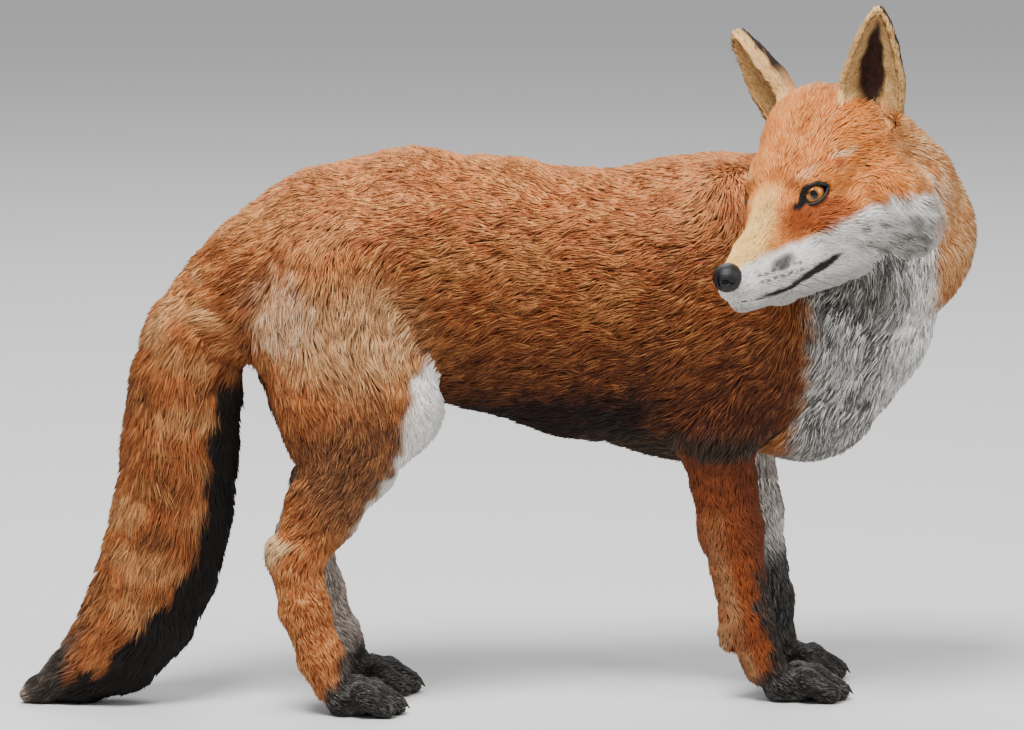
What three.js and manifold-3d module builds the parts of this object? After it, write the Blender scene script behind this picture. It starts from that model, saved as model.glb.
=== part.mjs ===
// A standing red fox, life size, looking back over its right shoulder. Millimetres, +X the way the
// trunk points, +Y its left, +Z up, with the soles, pads and brush on the floor at Z = 0.
// The outer surface is the tips of the coat. It is one smooth body of tapered muscles, meshed finer
// where the animal is finer, and parted by thin cuts into the pieces a person would name.
import * as THREE from "three";
import { mergeVertices } from "three/addons/utils/BufferGeometryUtils.js";
import Module from "manifold-3d";

const wasm = await Module();
wasm.setup();

// ---- Driving dimensions -----------------------------------------------------------------------
const BACK_HEIGHT = 382; // top of the coat over the ribs
const CHEST_DEPTH = 212; // back to brisket, at the elbows
const CHEST_HALF_WIDTH = 72;
const LOIN_DEPTH = 176;
const STANCE_HALF_WIDTH = 40; // from the midline to a foot
const FORE_ELBOW_HEIGHT = 190;
const WRIST_HEIGHT = 60;
const KNEE_HEIGHT = 218;
const HOCK_HEIGHT = 114;
const FORE_PAW_LENGTH = 62;
const HIND_PAW_LENGTH = 57;
const TAIL_RADIUS = 41; // the brush at its fullest, coat included
const EYE_RADIUS = 11;
const GAP = 0.3; // between neighbouring pieces
const SOLE_CUT = 1.5; // how far a sole is flattened where it stands

// ---- Frames -----------------------------------------------------------------------------------
const LEFTWARD = new THREE.Vector3(0, 1, 0);
const UPWARD = new THREE.Vector3(0, 0, 1);
const at = (x, y, z) => new THREE.Vector3(x, y, z);

// The head's own frame: x to the nose, y to the left ear, z to the crown, from between the eyes.
const HEAD_YAW = THREE.MathUtils.degToRad(-139.5);
const HEAD_PITCH = THREE.MathUtils.degToRad(10.5); // nose down
const HEAD_ROLL = THREE.MathUtils.degToRad(5.5);
const BETWEEN_EYES = at(181.5, -118, 369.5);
const headFrame = new THREE.Matrix4()
  .makeTranslation(BETWEEN_EYES)
  .multiply(new THREE.Matrix4().makeRotationZ(HEAD_YAW))
  .multiply(new THREE.Matrix4().makeRotationY(HEAD_PITCH))
  .multiply(new THREE.Matrix4().makeRotationX(HEAD_ROLL));
const onHead = (x, y, z) => at(x, y, z).applyMatrix4(headFrame);
const HEAD_ACROSS = LEFTWARD.clone().transformDirection(headFrame);

// ---- Muscles ----------------------------------------------------------------------------------
// A muscle is a tapered round bar between two places. `wide` stretches its section along `across`,
// and `blend` is the fillet, in mm, with which it grows out of what is already there.
const flesh = [];
function muscle(from, to, startRadius, endRadius, { wide = 1, across = LEFTWARD, blend = 8 } = {}) {
  flesh.push({ from, to, startRadius, endRadius, wide, across, blend });
}

// A run of muscles through stations of [place, radius].
function chain(stations, options) {
  for (let i = 1; i < stations.length; i++) {
    const [from, startRadius] = stations[i - 1];
    const [to, endRadius] = stations[i];
    muscle(from, to, startRadius, endRadius, options);
  }
}

function growTrunk() {
  const ribs = CHEST_DEPTH / 2;
  const loin = LOIN_DEPTH / 2;
  const ribsAxis = BACK_HEIGHT - ribs;
  chain(
    [
      [at(-158, 0, 297), loin - 30],
      [at(-116, 0, 303), loin - 10],
      [at(-62, 0, 306), loin - 3],
    ],
    { wide: 0.8, blend: 10 },
  );
  chain(
    [
      [at(-62, 0, 306), loin - 3],
      [at(0, 0, 295), loin],
      [at(65, 0, 280), ribs - 12],
    ],
    { wide: 0.73, blend: 10 },
  );
  chain(
    [
      [at(65, 0, 280), ribs - 12],
      [at(135, 0, ribsAxis), ribs],
      [at(178, 0, ribsAxis + 4), ribs - 4],
    ],
    { wide: CHEST_HALF_WIDTH / ribs, blend: 10 },
  );
}

function growNeck() {
  chain(
    [
      [at(178, 0, 286), 92],
      [at(236, -6, 300), 76],
    ],
    { wide: 0.78, blend: 18 },
  );
  chain(
    [
      [at(236, -6, 300), 74],
      [at(265, -34, 330), 64],
      [at(257, -70, 358), 55],
    ],
    { wide: 0.9, blend: 14 },
  );
  chain(
    [
      [at(243, 0, 264), 66],
      [at(220, 0, 222), 57],
    ],
    { wide: 0.85, blend: 16 },
  ); // the bib of the chest
}

// `lead` is how far this leg stands ahead of the right one.
function growForeleg(side, lead) {
  const foot = side * STANCE_HALF_WIDTH;
  chain(
    [
      [at(160, side * 30, 346), 30],
      [at(205, side * 42, 268), 36],
      [at(148 + 0.7 * lead, foot + side * 3, FORE_ELBOW_HEIGHT + 4), 29],
    ],
    { blend: 22 },
  );
  chain(
    [
      [at(147 + 0.9 * lead, foot + side * 3, FORE_ELBOW_HEIGHT), 27],
      [at(157 + lead, foot + side, 125), 22],
      [at(169 + lead, foot, WRIST_HEIGHT), 18],
      [at(182 + 0.8 * lead, foot, 26), 15.5],
    ],
    { wide: 0.86, blend: 8 },
  );
  muscle(at(158 + lead, foot, 50), at(156 + lead, foot, 44), 9, 7, { blend: 7 }); // wrist pad
}

function growHindleg(side, lead) {
  const foot = side * STANCE_HALF_WIDTH;
  chain(
    [
      [at(-118, side * 33, 302), 52],
      [at(-84 + 0.2 * lead, foot + side * 2, KNEE_HEIGHT), 36],
    ],
    { wide: 0.72, blend: 20 },
  ); // thigh
  chain(
    [
      [at(-150, side * 28, 278), 32],
      [at(-131 + 0.3 * lead, foot, 208), 32],
    ],
    { wide: 0.8, blend: 20 },
  ); // hamstring
  chain(
    [
      [at(-88 + 0.3 * lead, foot + side * 2, KNEE_HEIGHT), 35],
      [at(-113 + 0.4 * lead, foot + side, 182), 33],
      [at(-131 + 0.6 * lead, foot, 148), 25],
      [at(-150 + 0.8 * lead, foot, HOCK_HEIGHT), 20],
    ],
    { wide: 0.68, blend: 12 },
  ); // shank
  muscle(at(-146 + 0.8 * lead, foot, 122), at(-162 + 0.8 * lead, foot, 119), 12, 9, { blend: 8 }); // heel bone
  chain(
    [
      [at(-151 + 0.8 * lead, foot, HOCK_HEIGHT - 4), 19],
      [at(-145 + 0.9 * lead, foot, 76), 17],
      [at(-134 + lead, foot, 42), 15.5],
      [at(-126 + lead, foot, 24), 15],
    ],
    { wide: 0.86, blend: 8 },
  );
}

// A paw stands at its heel, pointing along +X: a pad and four toes, the middle two longest.
const TOE_SPACING = 10.6;
const TOES = [-1.5, -0.5, 0.5, 1.5];
function toeTip(heel, length, place) {
  const short = Math.abs(place) > 1 ? 9 : 0;
  return at(heel.x + length - 8 - short, heel.y + place * TOE_SPACING * 1.06, 8.5 - SOLE_CUT);
}
function growPaw(heel, length) {
  const back = at(heel.x + 13, heel.y, 13 - SOLE_CUT);
  const ball = at(heel.x + 0.42 * length, heel.y, 14.5 - SOLE_CUT);
  muscle(back, ball, 12.5, 14.5, { wide: 1.22, blend: 6 });
  for (const place of TOES) {
    const tip = toeTip(heel, length, place);
    const knuckle = at(tip.x - 0.25 * length, heel.y + place * TOE_SPACING, 17 - SOLE_CUT);
    muscle(ball, knuckle, 9.5, 9.2, { blend: 4 });
    muscle(knuckle, tip, 9.2, 8.3, { blend: 2.5 });
  }
}

function growTail() {
  const full = TAIL_RADIUS;
  chain(
    [
      [at(-166, 0, 300), 34],
      [at(-190, 3, 287), 36],
      [at(-210, 8, 264), 39],
    ],
    { wide: 0.95, blend: 12 },
  );
  chain(
    [
      [at(-210, 8, 264), 39],
      [at(-219, 12, 234), full - 1],
      [at(-224, 16, 190), full],
      [at(-228, 20, 145), full + 1],
      [at(-238, 26, 100), full + 1],
      [at(-250, 31, 68), full - 1],
      [at(-267, 36, 41), full - 6],
      [at(-291, 40, 23), 24],
      [at(-317, 42, 11), 12.5],
      [at(-328, 42, 7), 7.5],
    ],
    { wide: 0.95, blend: 3 },
  );
}

function growHead() {
  const across = { across: HEAD_ACROSS };
  // The skull: cranium, brow and the long wedge of the face.
  muscle(onHead(-78, 0, 2), onHead(-50, 0, 18), 44, 44, { ...across, wide: 1.08, blend: 12 });
  muscle(onHead(-50, 0, 18), onHead(-14, 0, 5), 44, 33, { ...across, wide: 1.08, blend: 8 });
  muscle(onHead(-16, 0, 2), onHead(10, 0, -12), 33, 24, { ...across, wide: 1.08, blend: 10 });
  muscle(onHead(8, 0, -19), onHead(46, 0, -31), 23, 17, { ...across, wide: 0.94, blend: 14 });
  muscle(onHead(46, 0, -31), onHead(72, 0, -39), 16.5, 12.5, { ...across, wide: 1, blend: 5 });
  for (const side of [-1, 1]) {
    muscle(onHead(-14, side * 26, 10), onHead(8, side * 19, 6), 10, 7, { blend: 10 }); // brow
    muscle(onHead(-56, side * 38, -26), onHead(2, side * 26, -22), 30, 14, { blend: 12 }); // cheek
    muscle(onHead(-66, side * 50, -42), onHead(-48, side * 42, -14), 20, 27, { blend: 12 }); // ruff
    muscle(onHead(-12, side * 20, -38), onHead(40, side * 12, -45), 16, 12, { blend: 14 }); // upper lip
    muscle(onHead(40, side * 12, -45), onHead(72, side * 7, -47.5), 12, 8.5, { blend: 8 });
  }
  muscle(onHead(-40, 0, -50), onHead(30, 0, -57), 25, 14, { ...across, wide: 1.2, blend: 6 }); // jaw
  muscle(onHead(30, 0, -57), onHead(71, 0, -56.5), 13, 8, { ...across, wide: 1.1, blend: 4 }); // chin
}

// An ear is a sheet, curled about its long axis and open to the front, as thick as its coat.
const EAR_HALF_WIDTH = 25;
const EAR_CURL = 19;
const EAR_THICKNESS = 4.2; // half of it
const ears = [];
function growEar(side, base, tip, facing) {
  const up = tip.clone().sub(base);
  const length = up.length() - EAR_THICKNESS;
  up.normalize();
  const open = facing.clone().addScaledVector(up, -facing.dot(up)).normalize();
  ears.push({ side, base, up, open, sideways: up.clone().cross(open), length });
}
function earHalfWidth(ear, h) {
  const root = THREE.MathUtils.clamp((h + 8) / 38, 0, 1);
  return EAR_HALF_WIDTH * Math.max(1 - Math.max(h, 0) / ear.length, 0.001) ** 0.6 * (0.66 + 0.34 * root);
}
function earDistance(p, ear) {
  const q = p.clone().sub(ear.base);
  const h = THREE.MathUtils.clamp(q.dot(ear.up), -8, ear.length);
  const halfWidth = earHalfWidth(ear, h);
  const s = q.dot(ear.sideways);
  const along = THREE.MathUtils.clamp(s / halfWidth, -1, 1);
  const curl = (EAR_CURL * halfWidth) / EAR_HALF_WIDTH;
  const slope = (2 * curl * along) / halfWidth;
  const through = (q.dot(ear.open) + curl * (1 - along * along)) / Math.hypot(1, slope);
  const beside = Math.abs(s) - Math.abs(along) * halfWidth;
  return Math.hypot(through, beside, q.dot(ear.up) - h) - EAR_THICKNESS;
}
const headWay = (x, y, z) => at(x, y, z).transformDirection(headFrame);
growEar(1, onHead(-54, 38, 36), onHead(-57, 61, 115), headWay(0.86, 0.5, 0.1));
growEar(-1, onHead(-56, -37, 36), onHead(-52, -64, 104), headWay(0.86, -0.5, 0.1));

growTrunk();
growNeck();
const FAR_FORE_LEAD = 32;
const FAR_HIND_LEAD = 24;
growForeleg(-1, 0);
growForeleg(1, FAR_FORE_LEAD);
growHindleg(-1, 0);
growHindleg(1, FAR_HIND_LEAD);
const pawHeels = {
  forepaw_right: [at(180, -STANCE_HALF_WIDTH, 0), FORE_PAW_LENGTH],
  forepaw_left: [at(180 + 0.5 * FAR_FORE_LEAD, STANCE_HALF_WIDTH, 0), FORE_PAW_LENGTH],
  hindpaw_right: [at(-132, -STANCE_HALF_WIDTH, 0), HIND_PAW_LENGTH],
  hindpaw_left: [at(-132 + FAR_HIND_LEAD, STANCE_HALF_WIDTH, 0), HIND_PAW_LENGTH],
};
for (const [heel, length] of Object.values(pawHeels)) growPaw(heel, length);
growTail();
growHead();

// ---- The body as a distance field -------------------------------------------------------------
const reach = new THREE.Vector3();
function muscleDistance(p, m) {
  const axis = reach.subVectors(m.to, m.from);
  const length2 = Math.max(axis.lengthSq(), 1e-9);
  const t = THREE.MathUtils.clamp(
    ((p.x - m.from.x) * axis.x + (p.y - m.from.y) * axis.y + (p.z - m.from.z) * axis.z) / length2,
    0,
    1,
  );
  const qx = p.x - m.from.x - axis.x * t;
  const qy = p.y - m.from.y - axis.y * t;
  const qz = p.z - m.from.z - axis.z * t;
  const plain = Math.hypot(qx, qy, qz);
  const sideways = qx * m.across.x + qy * m.across.y + qz * m.across.z;
  const extra = sideways * (1 / m.wide - 1);
  const squeezed = Math.hypot(qx + m.across.x * extra, qy + m.across.y * extra, qz + m.across.z * extra);
  const radius = m.startRadius + (m.endRadius - m.startRadius) * t;
  return (squeezed - radius) * (squeezed > 1e-6 ? plain / squeezed : 1);
}

// Below zero inside the body. Each muscle joins the rest with a fillet of its own size. Muscles too
// far from the box to matter are left out.
const REACH = 45;
const EAR_BLEND = 7;
function bodyWithin(low, high) {
  const box = new THREE.Box3(low, high).expandByScalar(REACH);
  const near = flesh.filter((m) => {
    const own = new THREE.Box3().setFromPoints([m.from, m.to]);
    return own.expandByScalar(1.3 * Math.max(m.startRadius, m.endRadius)).intersectsBox(box);
  });
  const nearEars = ears.filter((ear) => box.containsPoint(ear.base));
  return (p) => {
    let depth = 1e3;
    for (const m of near) {
      const d = muscleDistance(p, m);
      const h = Math.max(m.blend - Math.abs(depth - d), 0) / m.blend;
      depth = Math.min(depth, d) - (h * h * m.blend) / 4;
    }
    for (const ear of nearEars) {
      const d = earDistance(p, ear);
      const h = Math.max(EAR_BLEND - Math.abs(depth - d), 0) / EAR_BLEND;
      depth = Math.min(depth, d) - (h * h * EAR_BLEND) / 4;
    }
    return depth;
  };
}

// ---- Surface net: one vertex in each grid cell that the surface crosses -----------------------
const CORNERS = [0, 1, 2, 3, 4, 5, 6, 7].map((i) => [i & 1, (i >> 1) & 1, i >> 2]);
const EDGES = [];
for (let i = 0; i < 8; i++) for (const bit of [1, 2, 4]) if (!(i & bit)) EDGES.push([i, i | bit]);

const CELL_FACES = [1, 2, 4].flatMap((bit) =>
  [0, bit].map((side) => ({
    corners: [0, 1, 2, 3, 4, 5, 6, 7].filter((c) => (c & bit) === side),
    edges: EDGES.map((_, n) => n).filter((n) => EDGES[n].every((c) => (c & bit) === side)),
  })),
);

function settle(p, field) {
  const e = 0.5;
  for (let step = 0; step < 3; step++) {
    const value = field(p);
    const slope = at(
      field(at(p.x + e, p.y, p.z)) - field(at(p.x - e, p.y, p.z)),
      field(at(p.x, p.y + e, p.z)) - field(at(p.x, p.y - e, p.z)),
      field(at(p.x, p.y, p.z + e)) - field(at(p.x, p.y, p.z - e)),
    ).divideScalar(2 * e);
    p.addScaledVector(slope, -value / Math.max(slope.lengthSq(), 0.2));
  }
}

function surfaceNet(field, low, high, cell) {
  const count = high.clone().sub(low).divideScalar(cell).ceil().toArray();
  const [nx, ny, nz] = count.map((n) => n + 1);
  const node = (i, j, k) => (i * ny + j) * nz + k;
  const value = new Float64Array(nx * ny * nz);
  for (let i = 0; i < nx; i++)
    for (let j = 0; j < ny; j++)
      for (let k = 0; k < nz; k++) {
        const rim = i === 0 || j === 0 || k === 0 || i === nx - 1 || j === ny - 1 || k === nz - 1;
        const p = at(low.x + i * cell, low.y + j * cell, low.z + k * cell);
        value[node(i, j, k)] = rim ? Math.max(field(p), cell / 2) : field(p);
      }
  // Where two sheets of the surface share a cell, each gets a vertex: the cell's crossed edges are
  // linked across its faces, and on a face with four crossings the corners inside stay apart.
  const points = [];
  const sheetsOf = new Map();
  const sheets = (i, j, k) => {
    const key = node(i, j, k);
    if (sheetsOf.has(key)) return sheetsOf.get(key);
    const corner = CORNERS.map((c) => value[node(i + c[0], j + c[1], k + c[2])]);
    const parent = EDGES.map((_, n) => n);
    const root = (n) => (parent[n] === n ? n : root(parent[n]));
    for (const face of CELL_FACES) {
      const crossed = face.edges.filter((n) => corner[EDGES[n][0]] < 0 !== corner[EDGES[n][1]] < 0);
      if (crossed.length === 2) parent[root(crossed[0])] = root(crossed[1]);
      if (crossed.length === 4)
        for (const c of face.corners)
          if (corner[c] < 0) {
            const [a, b] = face.edges.filter((n) => EDGES[n].includes(c));
            parent[root(a)] = root(b);
          }
    }
    const sums = new Map();
    EDGES.forEach(([a, b], n) => {
      if (corner[a] < 0 === corner[b] < 0) return;
      const sheet = root(n);
      if (!sums.has(sheet)) sums.set(sheet, { sum: at(0, 0, 0), crossings: 0 });
      const t = corner[a] / (corner[a] - corner[b]);
      const entry = sums.get(sheet);
      entry.sum.add(at(...CORNERS[a].map((c, m) => c + (CORNERS[b][m] - c) * t)));
      entry.crossings++;
    });
    const inner = i > 1 && j > 1 && k > 1 && i < nx - 3 && j < ny - 3 && k < nz - 3;
    const vertexOf = new Map();
    for (const [sheet, { sum, crossings }] of sums) {
      sum.divideScalar(crossings).add(at(i, j, k)).multiplyScalar(cell).add(low);
      if (inner && sums.size === 1) settle(sum, field);
      points.push(sum.x, sum.y, sum.z);
      vertexOf.set(sheet, points.length / 3 - 1);
    }
    const byEdge = EDGES.map((_, n) => vertexOf.get(root(n)));
    sheetsOf.set(key, byEdge);
    return byEdge;
  };
  const faces = [];
  const axes = [
    [1, 0, 0],
    [0, 1, 0],
    [0, 0, 1],
  ];
  for (let i = 0; i < nx - 1; i++)
    for (let j = 0; j < ny - 1; j++)
      for (let k = 0; k < nz - 1; k++)
        for (const [n, [dx, dy, dz]] of axes.entries()) {
          const here = value[node(i, j, k)] < 0;
          if (here === value[node(i + dx, j + dy, k + dz)] < 0) continue;
          const [u, v] = [axes[(n + 1) % 3], axes[(n + 2) % 3]];
          const ring = [
            [0, 0],
            [1, 0],
            [1, 1],
            [0, 1],
          ].map(([s, t]) => {
            const low8 = [s * u[0] + t * v[0], s * u[1] + t * v[1], s * u[2] + t * v[2]];
            const from = low8[0] + 2 * low8[1] + 4 * low8[2];
            const edge = EDGES.findIndex(([a, b]) => a === from && b === (from | (1 << n)));
            return sheets(i - low8[0], j - low8[1], k - low8[2])[edge];
          });
          if (!here) ring.reverse();
          faces.push(ring[0], ring[1], ring[2], ring[0], ring[2], ring[3]);
        }
  return new wasm.Manifold(
    new wasm.Mesh({ numProp: 3, vertProperties: new Float32Array(points), triVerts: new Uint32Array(faces) }),
  );
}

// ---- Solids and cutters -----------------------------------------------------------------------
function solidOf(geometry) {
  const bare = (geometry.index ? geometry.toNonIndexed() : geometry.clone()).deleteAttribute("normal");
  bare.deleteAttribute("uv");
  const merged = mergeVertices(bare, 1e-3);
  return new wasm.Manifold(
    new wasm.Mesh({
      numProp: 3,
      vertProperties: merged.attributes.position.array,
      triVerts: new Uint32Array(merged.index.array),
    }),
  );
}

const block = (low, high, grow = 0) => {
  const size = high.clone().sub(low).addScalar(2 * grow);
  const middle = high.clone().add(low).multiplyScalar(0.5);
  return solidOf(new THREE.BoxGeometry(...size).translate(...middle));
};

// A plate whose outline is drawn in the X-Z plane of a frame and which runs from Y = near to far.
function plate(outline, near, far, { grow = 0, frame = new THREE.Matrix4() } = {}) {
  const corners = outline.map(([x, z]) => new THREE.Vector2(x, z));
  const middle = corners.reduce((sum, c) => sum.add(c), new THREE.Vector2()).divideScalar(corners.length);
  const grown = corners.map((c, i) => {
    const before = corners.at(i - 1);
    const after = corners[(i + 1) % corners.length];
    const out = new THREE.Vector2(after.y - before.y, before.x - after.x).normalize();
    if (out.dot(c.clone().sub(middle)) < 0) out.negate();
    return c.clone().addScaledVector(out, 1.2 * grow);
  });
  const span = Math.abs(far - near) + 2 * grow;
  const plain = new THREE.ExtrudeGeometry(new THREE.Shape(grown), { depth: span, bevelEnabled: false });
  plain.rotateX(Math.PI / 2).translate(0, Math.max(near, far) + grow, 0);
  return solidOf(plain.applyMatrix4(frame));
}

// A tapering round horn along a curve, closed to a point at its end.
function horn(curve, radius, rings, sides) {
  const positions = [];
  const { normals, binormals } = curve.computeFrenetFrames(rings, false);
  const ring = (i) =>
    Array.from({ length: sides }, (_, s) => {
      const turn = (2 * Math.PI * s) / sides;
      const r = radius * (1 - (0.85 * i) / rings);
      const spoke = normals[i].clone().multiplyScalar(r * Math.cos(turn));
      return spoke.addScaledVector(binormals[i], r * Math.sin(turn)).add(curve.getPoint(i / rings));
    });
  const face = (...corners) => corners.forEach((c) => positions.push(...c));
  const all = Array.from({ length: rings + 1 }, (_, i) => ring(i));
  for (let s = 0; s < sides; s++) {
    const t = (s + 1) % sides;
    face(curve.getPoint(0), all[0][t], all[0][s]);
    face(curve.getPoint(1), all[rings][s], all[rings][t]);
    for (let i = 0; i < rings; i++) {
      face(all[i][s], all[i][t], all[i + 1][t]);
      face(all[i][s], all[i + 1][t], all[i + 1][s]);
    }
  }
  return new THREE.BufferGeometry().setAttribute("position", new THREE.Float32BufferAttribute(positions, 3));
}

// ---- Pieces that aren't covered in coat: eyes, nose leather, claws ----------------------------
const EYE_CENTRE = [3, 22.5, 0];
const GAZE = [0.72, 0.68, 0.12];
const LID_OPENING = [10.5, 7]; // half its length and half its height
const LID_SLANT = THREE.MathUtils.degToRad(18); // outer corner up
const eyeCentre = (side) => onHead(EYE_CENTRE[0], side * EYE_CENTRE[1], EYE_CENTRE[2]);
const gazeOf = (side) => headWay(GAZE[0], side * GAZE[1], GAZE[2]).normalize();

function eyeball(side, grow = 0) {
  const ball = new THREE.SphereGeometry(EYE_RADIUS + grow, 10, 7);
  ball.applyQuaternion(new THREE.Quaternion().setFromUnitVectors(UPWARD, gazeOf(side)));
  return solidOf(ball.translate(...eyeCentre(side)));
}

// The slot between the lids: an almond, drawn across the gaze and pushed out through the coat.
function lidSlot(side) {
  const [long, high] = LID_OPENING;
  const almond = new THREE.Shape();
  almond.moveTo(-long, 0);
  almond.quadraticCurveTo(0, 2 * high, long, 0);
  almond.quadraticCurveTo(0, -2 * high, -long, 0);
  const slot = new THREE.ExtrudeGeometry(almond, { depth: 40, bevelEnabled: false, curveSegments: 6 });
  const gaze = gazeOf(side);
  const crown = headWay(0, 0, 1);
  const outward = crown.clone().cross(gaze).normalize().multiplyScalar(side);
  outward.multiplyScalar(Math.cos(LID_SLANT)).addScaledVector(crown, Math.sin(LID_SLANT)).normalize();
  const across = gaze.clone().cross(outward).normalize();
  slot.applyMatrix4(new THREE.Matrix4().makeBasis(outward, across, gaze));
  return solidOf(slot.translate(...eyeCentre(side)));
}

// The ear as a solid of its own: the curled sheet, thickened to both sides and rounded at the rim.
function earSheet(ear, rows = 8, columns = 7) {
  const place = (u, v) => {
    const h = -6 + v * (ear.length + 6);
    const halfWidth = earHalfWidth(ear, Math.min(h, 0.995 * ear.length));
    const curl = (EAR_CURL * halfWidth) / EAR_HALF_WIDTH;
    const spot = ear.base.clone().addScaledVector(ear.up, h).addScaledVector(ear.sideways, u * halfWidth);
    return { spot: spot.addScaledVector(ear.open, curl * (u * u - 1)), slope: (2 * curl * u) / halfWidth };
  };
  const loops = [];
  for (let i = 0; i <= rows; i++) {
    const v = 1 - (1 - i / rows) ** 1.25;
    const ring = [];
    for (const face of [1, -1])
      for (let j = 0; j <= columns; j++) {
        const u = face * (1 - (2 * j) / columns);
        const { spot, slope } = place(u, v);
        const normal = ear.open.clone().addScaledVector(ear.sideways, -slope).normalize();
        const atRim = j === 0 || j === columns;
        const out = ear.sideways.clone().addScaledVector(ear.open, slope).normalize().multiplyScalar(Math.sign(u));
        const offset = atRim ? normal.multiplyScalar(0.5 * face).addScaledVector(out, 0.8) : normal.multiplyScalar(face);
        ring.push(spot.addScaledVector(offset, EAR_THICKNESS));
      }
    loops.push(ring);
  }
  const positions = [];
  const face = (...corners) => corners.forEach((c) => positions.push(...c));
  const top = place(0, 1).spot.addScaledVector(ear.up, EAR_THICKNESS);
  const bottom = place(0, 0).spot;
  const n = loops[0].length;
  for (let j = 0; j < n; j++) {
    const k = (j + 1) % n;
    face(bottom, loops[0][j], loops[0][k]);
    face(top, loops[rows][k], loops[rows][j]);
    for (let i = 0; i < rows; i++) {
      face(loops[i][j], loops[i + 1][j], loops[i + 1][k]);
      face(loops[i][j], loops[i + 1][k], loops[i][k]);
    }
  }
  return solidOf(
    new THREE.BufferGeometry().setAttribute("position", new THREE.Float32BufferAttribute(positions, 3)),
  );
}

const NOSE_CENTRE = [81.5, 0, -37];
const NOSE_SIZE = [11, 10.5, 10];
function noseLeather(grow = 0) {
  const size = NOSE_SIZE.map((half) => half + grow);
  const pad = solidOf(
    new THREE.SphereGeometry(1, 12, 8).scale(...size).translate(...NOSE_CENTRE).applyMatrix4(headFrame),
  );
  if (grow > 0) return pad;
  const nostrils = [-1, 1].map((side) =>
    solidOf(new THREE.SphereGeometry(2.6, 6, 5).translate(...onHead(91.5, side * 5.2, -38))),
  );
  return pad.subtract(nostrils[0]).subtract(nostrils[1]);
}

function claw(heel, length, place, grow = 0) {
  const tip = toeTip(heel, length, place);
  const curve = new THREE.QuadraticBezierCurve3(
    at(tip.x + 1, tip.y, 11.5),
    at(tip.x + 7.5, tip.y, 12.5),
    at(tip.x + 11, tip.y, 4),
  );
  return solidOf(horn(curve, 2.8 + grow, 2, 5));
}

// ---- How the body is parted --------------------------------------------------------------------
// Each piece takes what its cutter encloses from what the pieces above it have left. `cell` is how
// finely it is meshed; `grow` widens a cutter by the gap for those that come after.
const RUMP_CUT = -40;
const CHEST_CUT = 75;
const THIGH_OUTLINE = [
  [-40.5, 188],
  [-44, 232],
  [-58, 290],
  [-96, 330],
  [-140, 326],
  [-168, 286],
  [-172.4, 236],
  [-172.4, 188],
];
const SHOULDER_OUTLINE = [
  [112, 205],
  [124, 258],
  [146, 312],
  [172, 338],
  [200, 322],
  [212, 280],
  [212, 238],
  [198, 205],
];
const TAIL_ROOT = at(-180, 0, 285);
const TAIL_ROOT_WAY = at(-0.951, 0, -0.306);
const NECK_ROOT = at(205, 0, 325);
const NECK_WAY = at(0.72, -0.25, 0.64);
const CHEEK_SIDE = at(175, -72, 325); // between the turned face and the shoulder behind it
const CHEEK_WAY = at(0.2, -0.85, 0.5);
const MOUTH_LINE = [
  [110, -54],
  [76, -54.5],
  [52, -58],
  [28, -58],
  [0, -48],
  [-14, -100],
  [110, -100],
];

// A half space, from a point on towards `way`.
function beyond(point, way, grow = 0) {
  const turn = new THREE.Quaternion().setFromUnitVectors(UPWARD, way.clone().normalize());
  const from = point.clone().addScaledVector(way.clone().normalize(), -grow);
  const box = new THREE.BoxGeometry(1200, 1200, 1200).translate(0, 0, 600);
  return solidOf(box.applyQuaternion(turn).translate(...from));
}
const RUMP_END = at(-173, 0, 0);
const REARWARD = at(-1, 0, 0);
const tailReach = (grow) => beyond(TAIL_ROOT, TAIL_ROOT_WAY, grow).intersect(beyond(RUMP_END, REARWARD, grow));
const half = (side, z0, z1, x0, x1, inner, grow) =>
  block(at(x0, side < 0 ? -160 : inner, z0), at(x1, side < 0 ? -inner : 160, z1), grow);

const COARSENESS = 0.26; // how far a facet may stray from the surface, in cells
const pieces = [];
const piece = (name, cell, low, high, cutter, less = []) => pieces.push({ name, cell, low, high, cutter, less });
const sides = [
  ["right", -1],
  ["left", 1],
];

for (const [word, side] of sides) {
  const ear = ears.find((e) => e.side === side);
  const earFrame = new THREE.Matrix4().makeBasis(ear.open, ear.sideways, ear.up).setPosition(ear.base);
  const outline = [
    [-30, 9],
    [14, 16],
    [24, 130],
    [-30, 130],
  ];
  const box = new THREE.Box3().setFromPoints([ear.base, ear.base.clone().addScaledVector(ear.up, ear.length)]);
  box.expandByScalar(38);
  piece(`ear_${word}`, 6, box.min, box.max, (grow) => plate(outline, -32, 32, { grow, frame: earFrame }));
}
const headPlate = (outline, reach, grow) =>
  plate(outline, -reach, reach, { grow, frame: headFrame }).intersect(beyond(CHEEK_SIDE, CHEEK_WAY, grow));
const jawMiddle = onHead(30, 0, -55);
piece(
  "lower_jaw",
  7,
  jawMiddle.clone().subScalar(75),
  jawMiddle.clone().addScalar(75),
  (grow) => headPlate(MOUTH_LINE, 40, grow),
  ["face"],
);
const MUZZLE_BLOCK = [
  [18, -72],
  [110, -72],
  [110, 30],
  [26, 30],
];
const HEAD_BLOCK = [
  [-94, 110],
  [-76, -80],
  [120, -80],
  [120, 110],
];
const muzzleMiddle = onHead(50, 0, -30);
piece(
  "muzzle",
  6.8,
  muzzleMiddle.clone().subScalar(70),
  muzzleMiddle.clone().addScalar(70),
  (grow) => headPlate(MUZZLE_BLOCK, 40, grow),
  ["face"],
);
piece("head", 10.2, at(70, -230, 262), at(290, -10, 465), (grow) => headPlate(HEAD_BLOCK, 82, grow), ["face"]);
piece("neck", 16, at(150, -130, 200), at(360, 110, 470), (grow) => beyond(NECK_ROOT, NECK_WAY, grow));
piece("tail_base", 11.5, at(-300, -70, 140), at(-130, 80, 350), (grow) =>
  tailReach(grow).intersect(beyond(at(-223, 0, 172), at(0.15, 0, 1), grow)),
);
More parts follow.
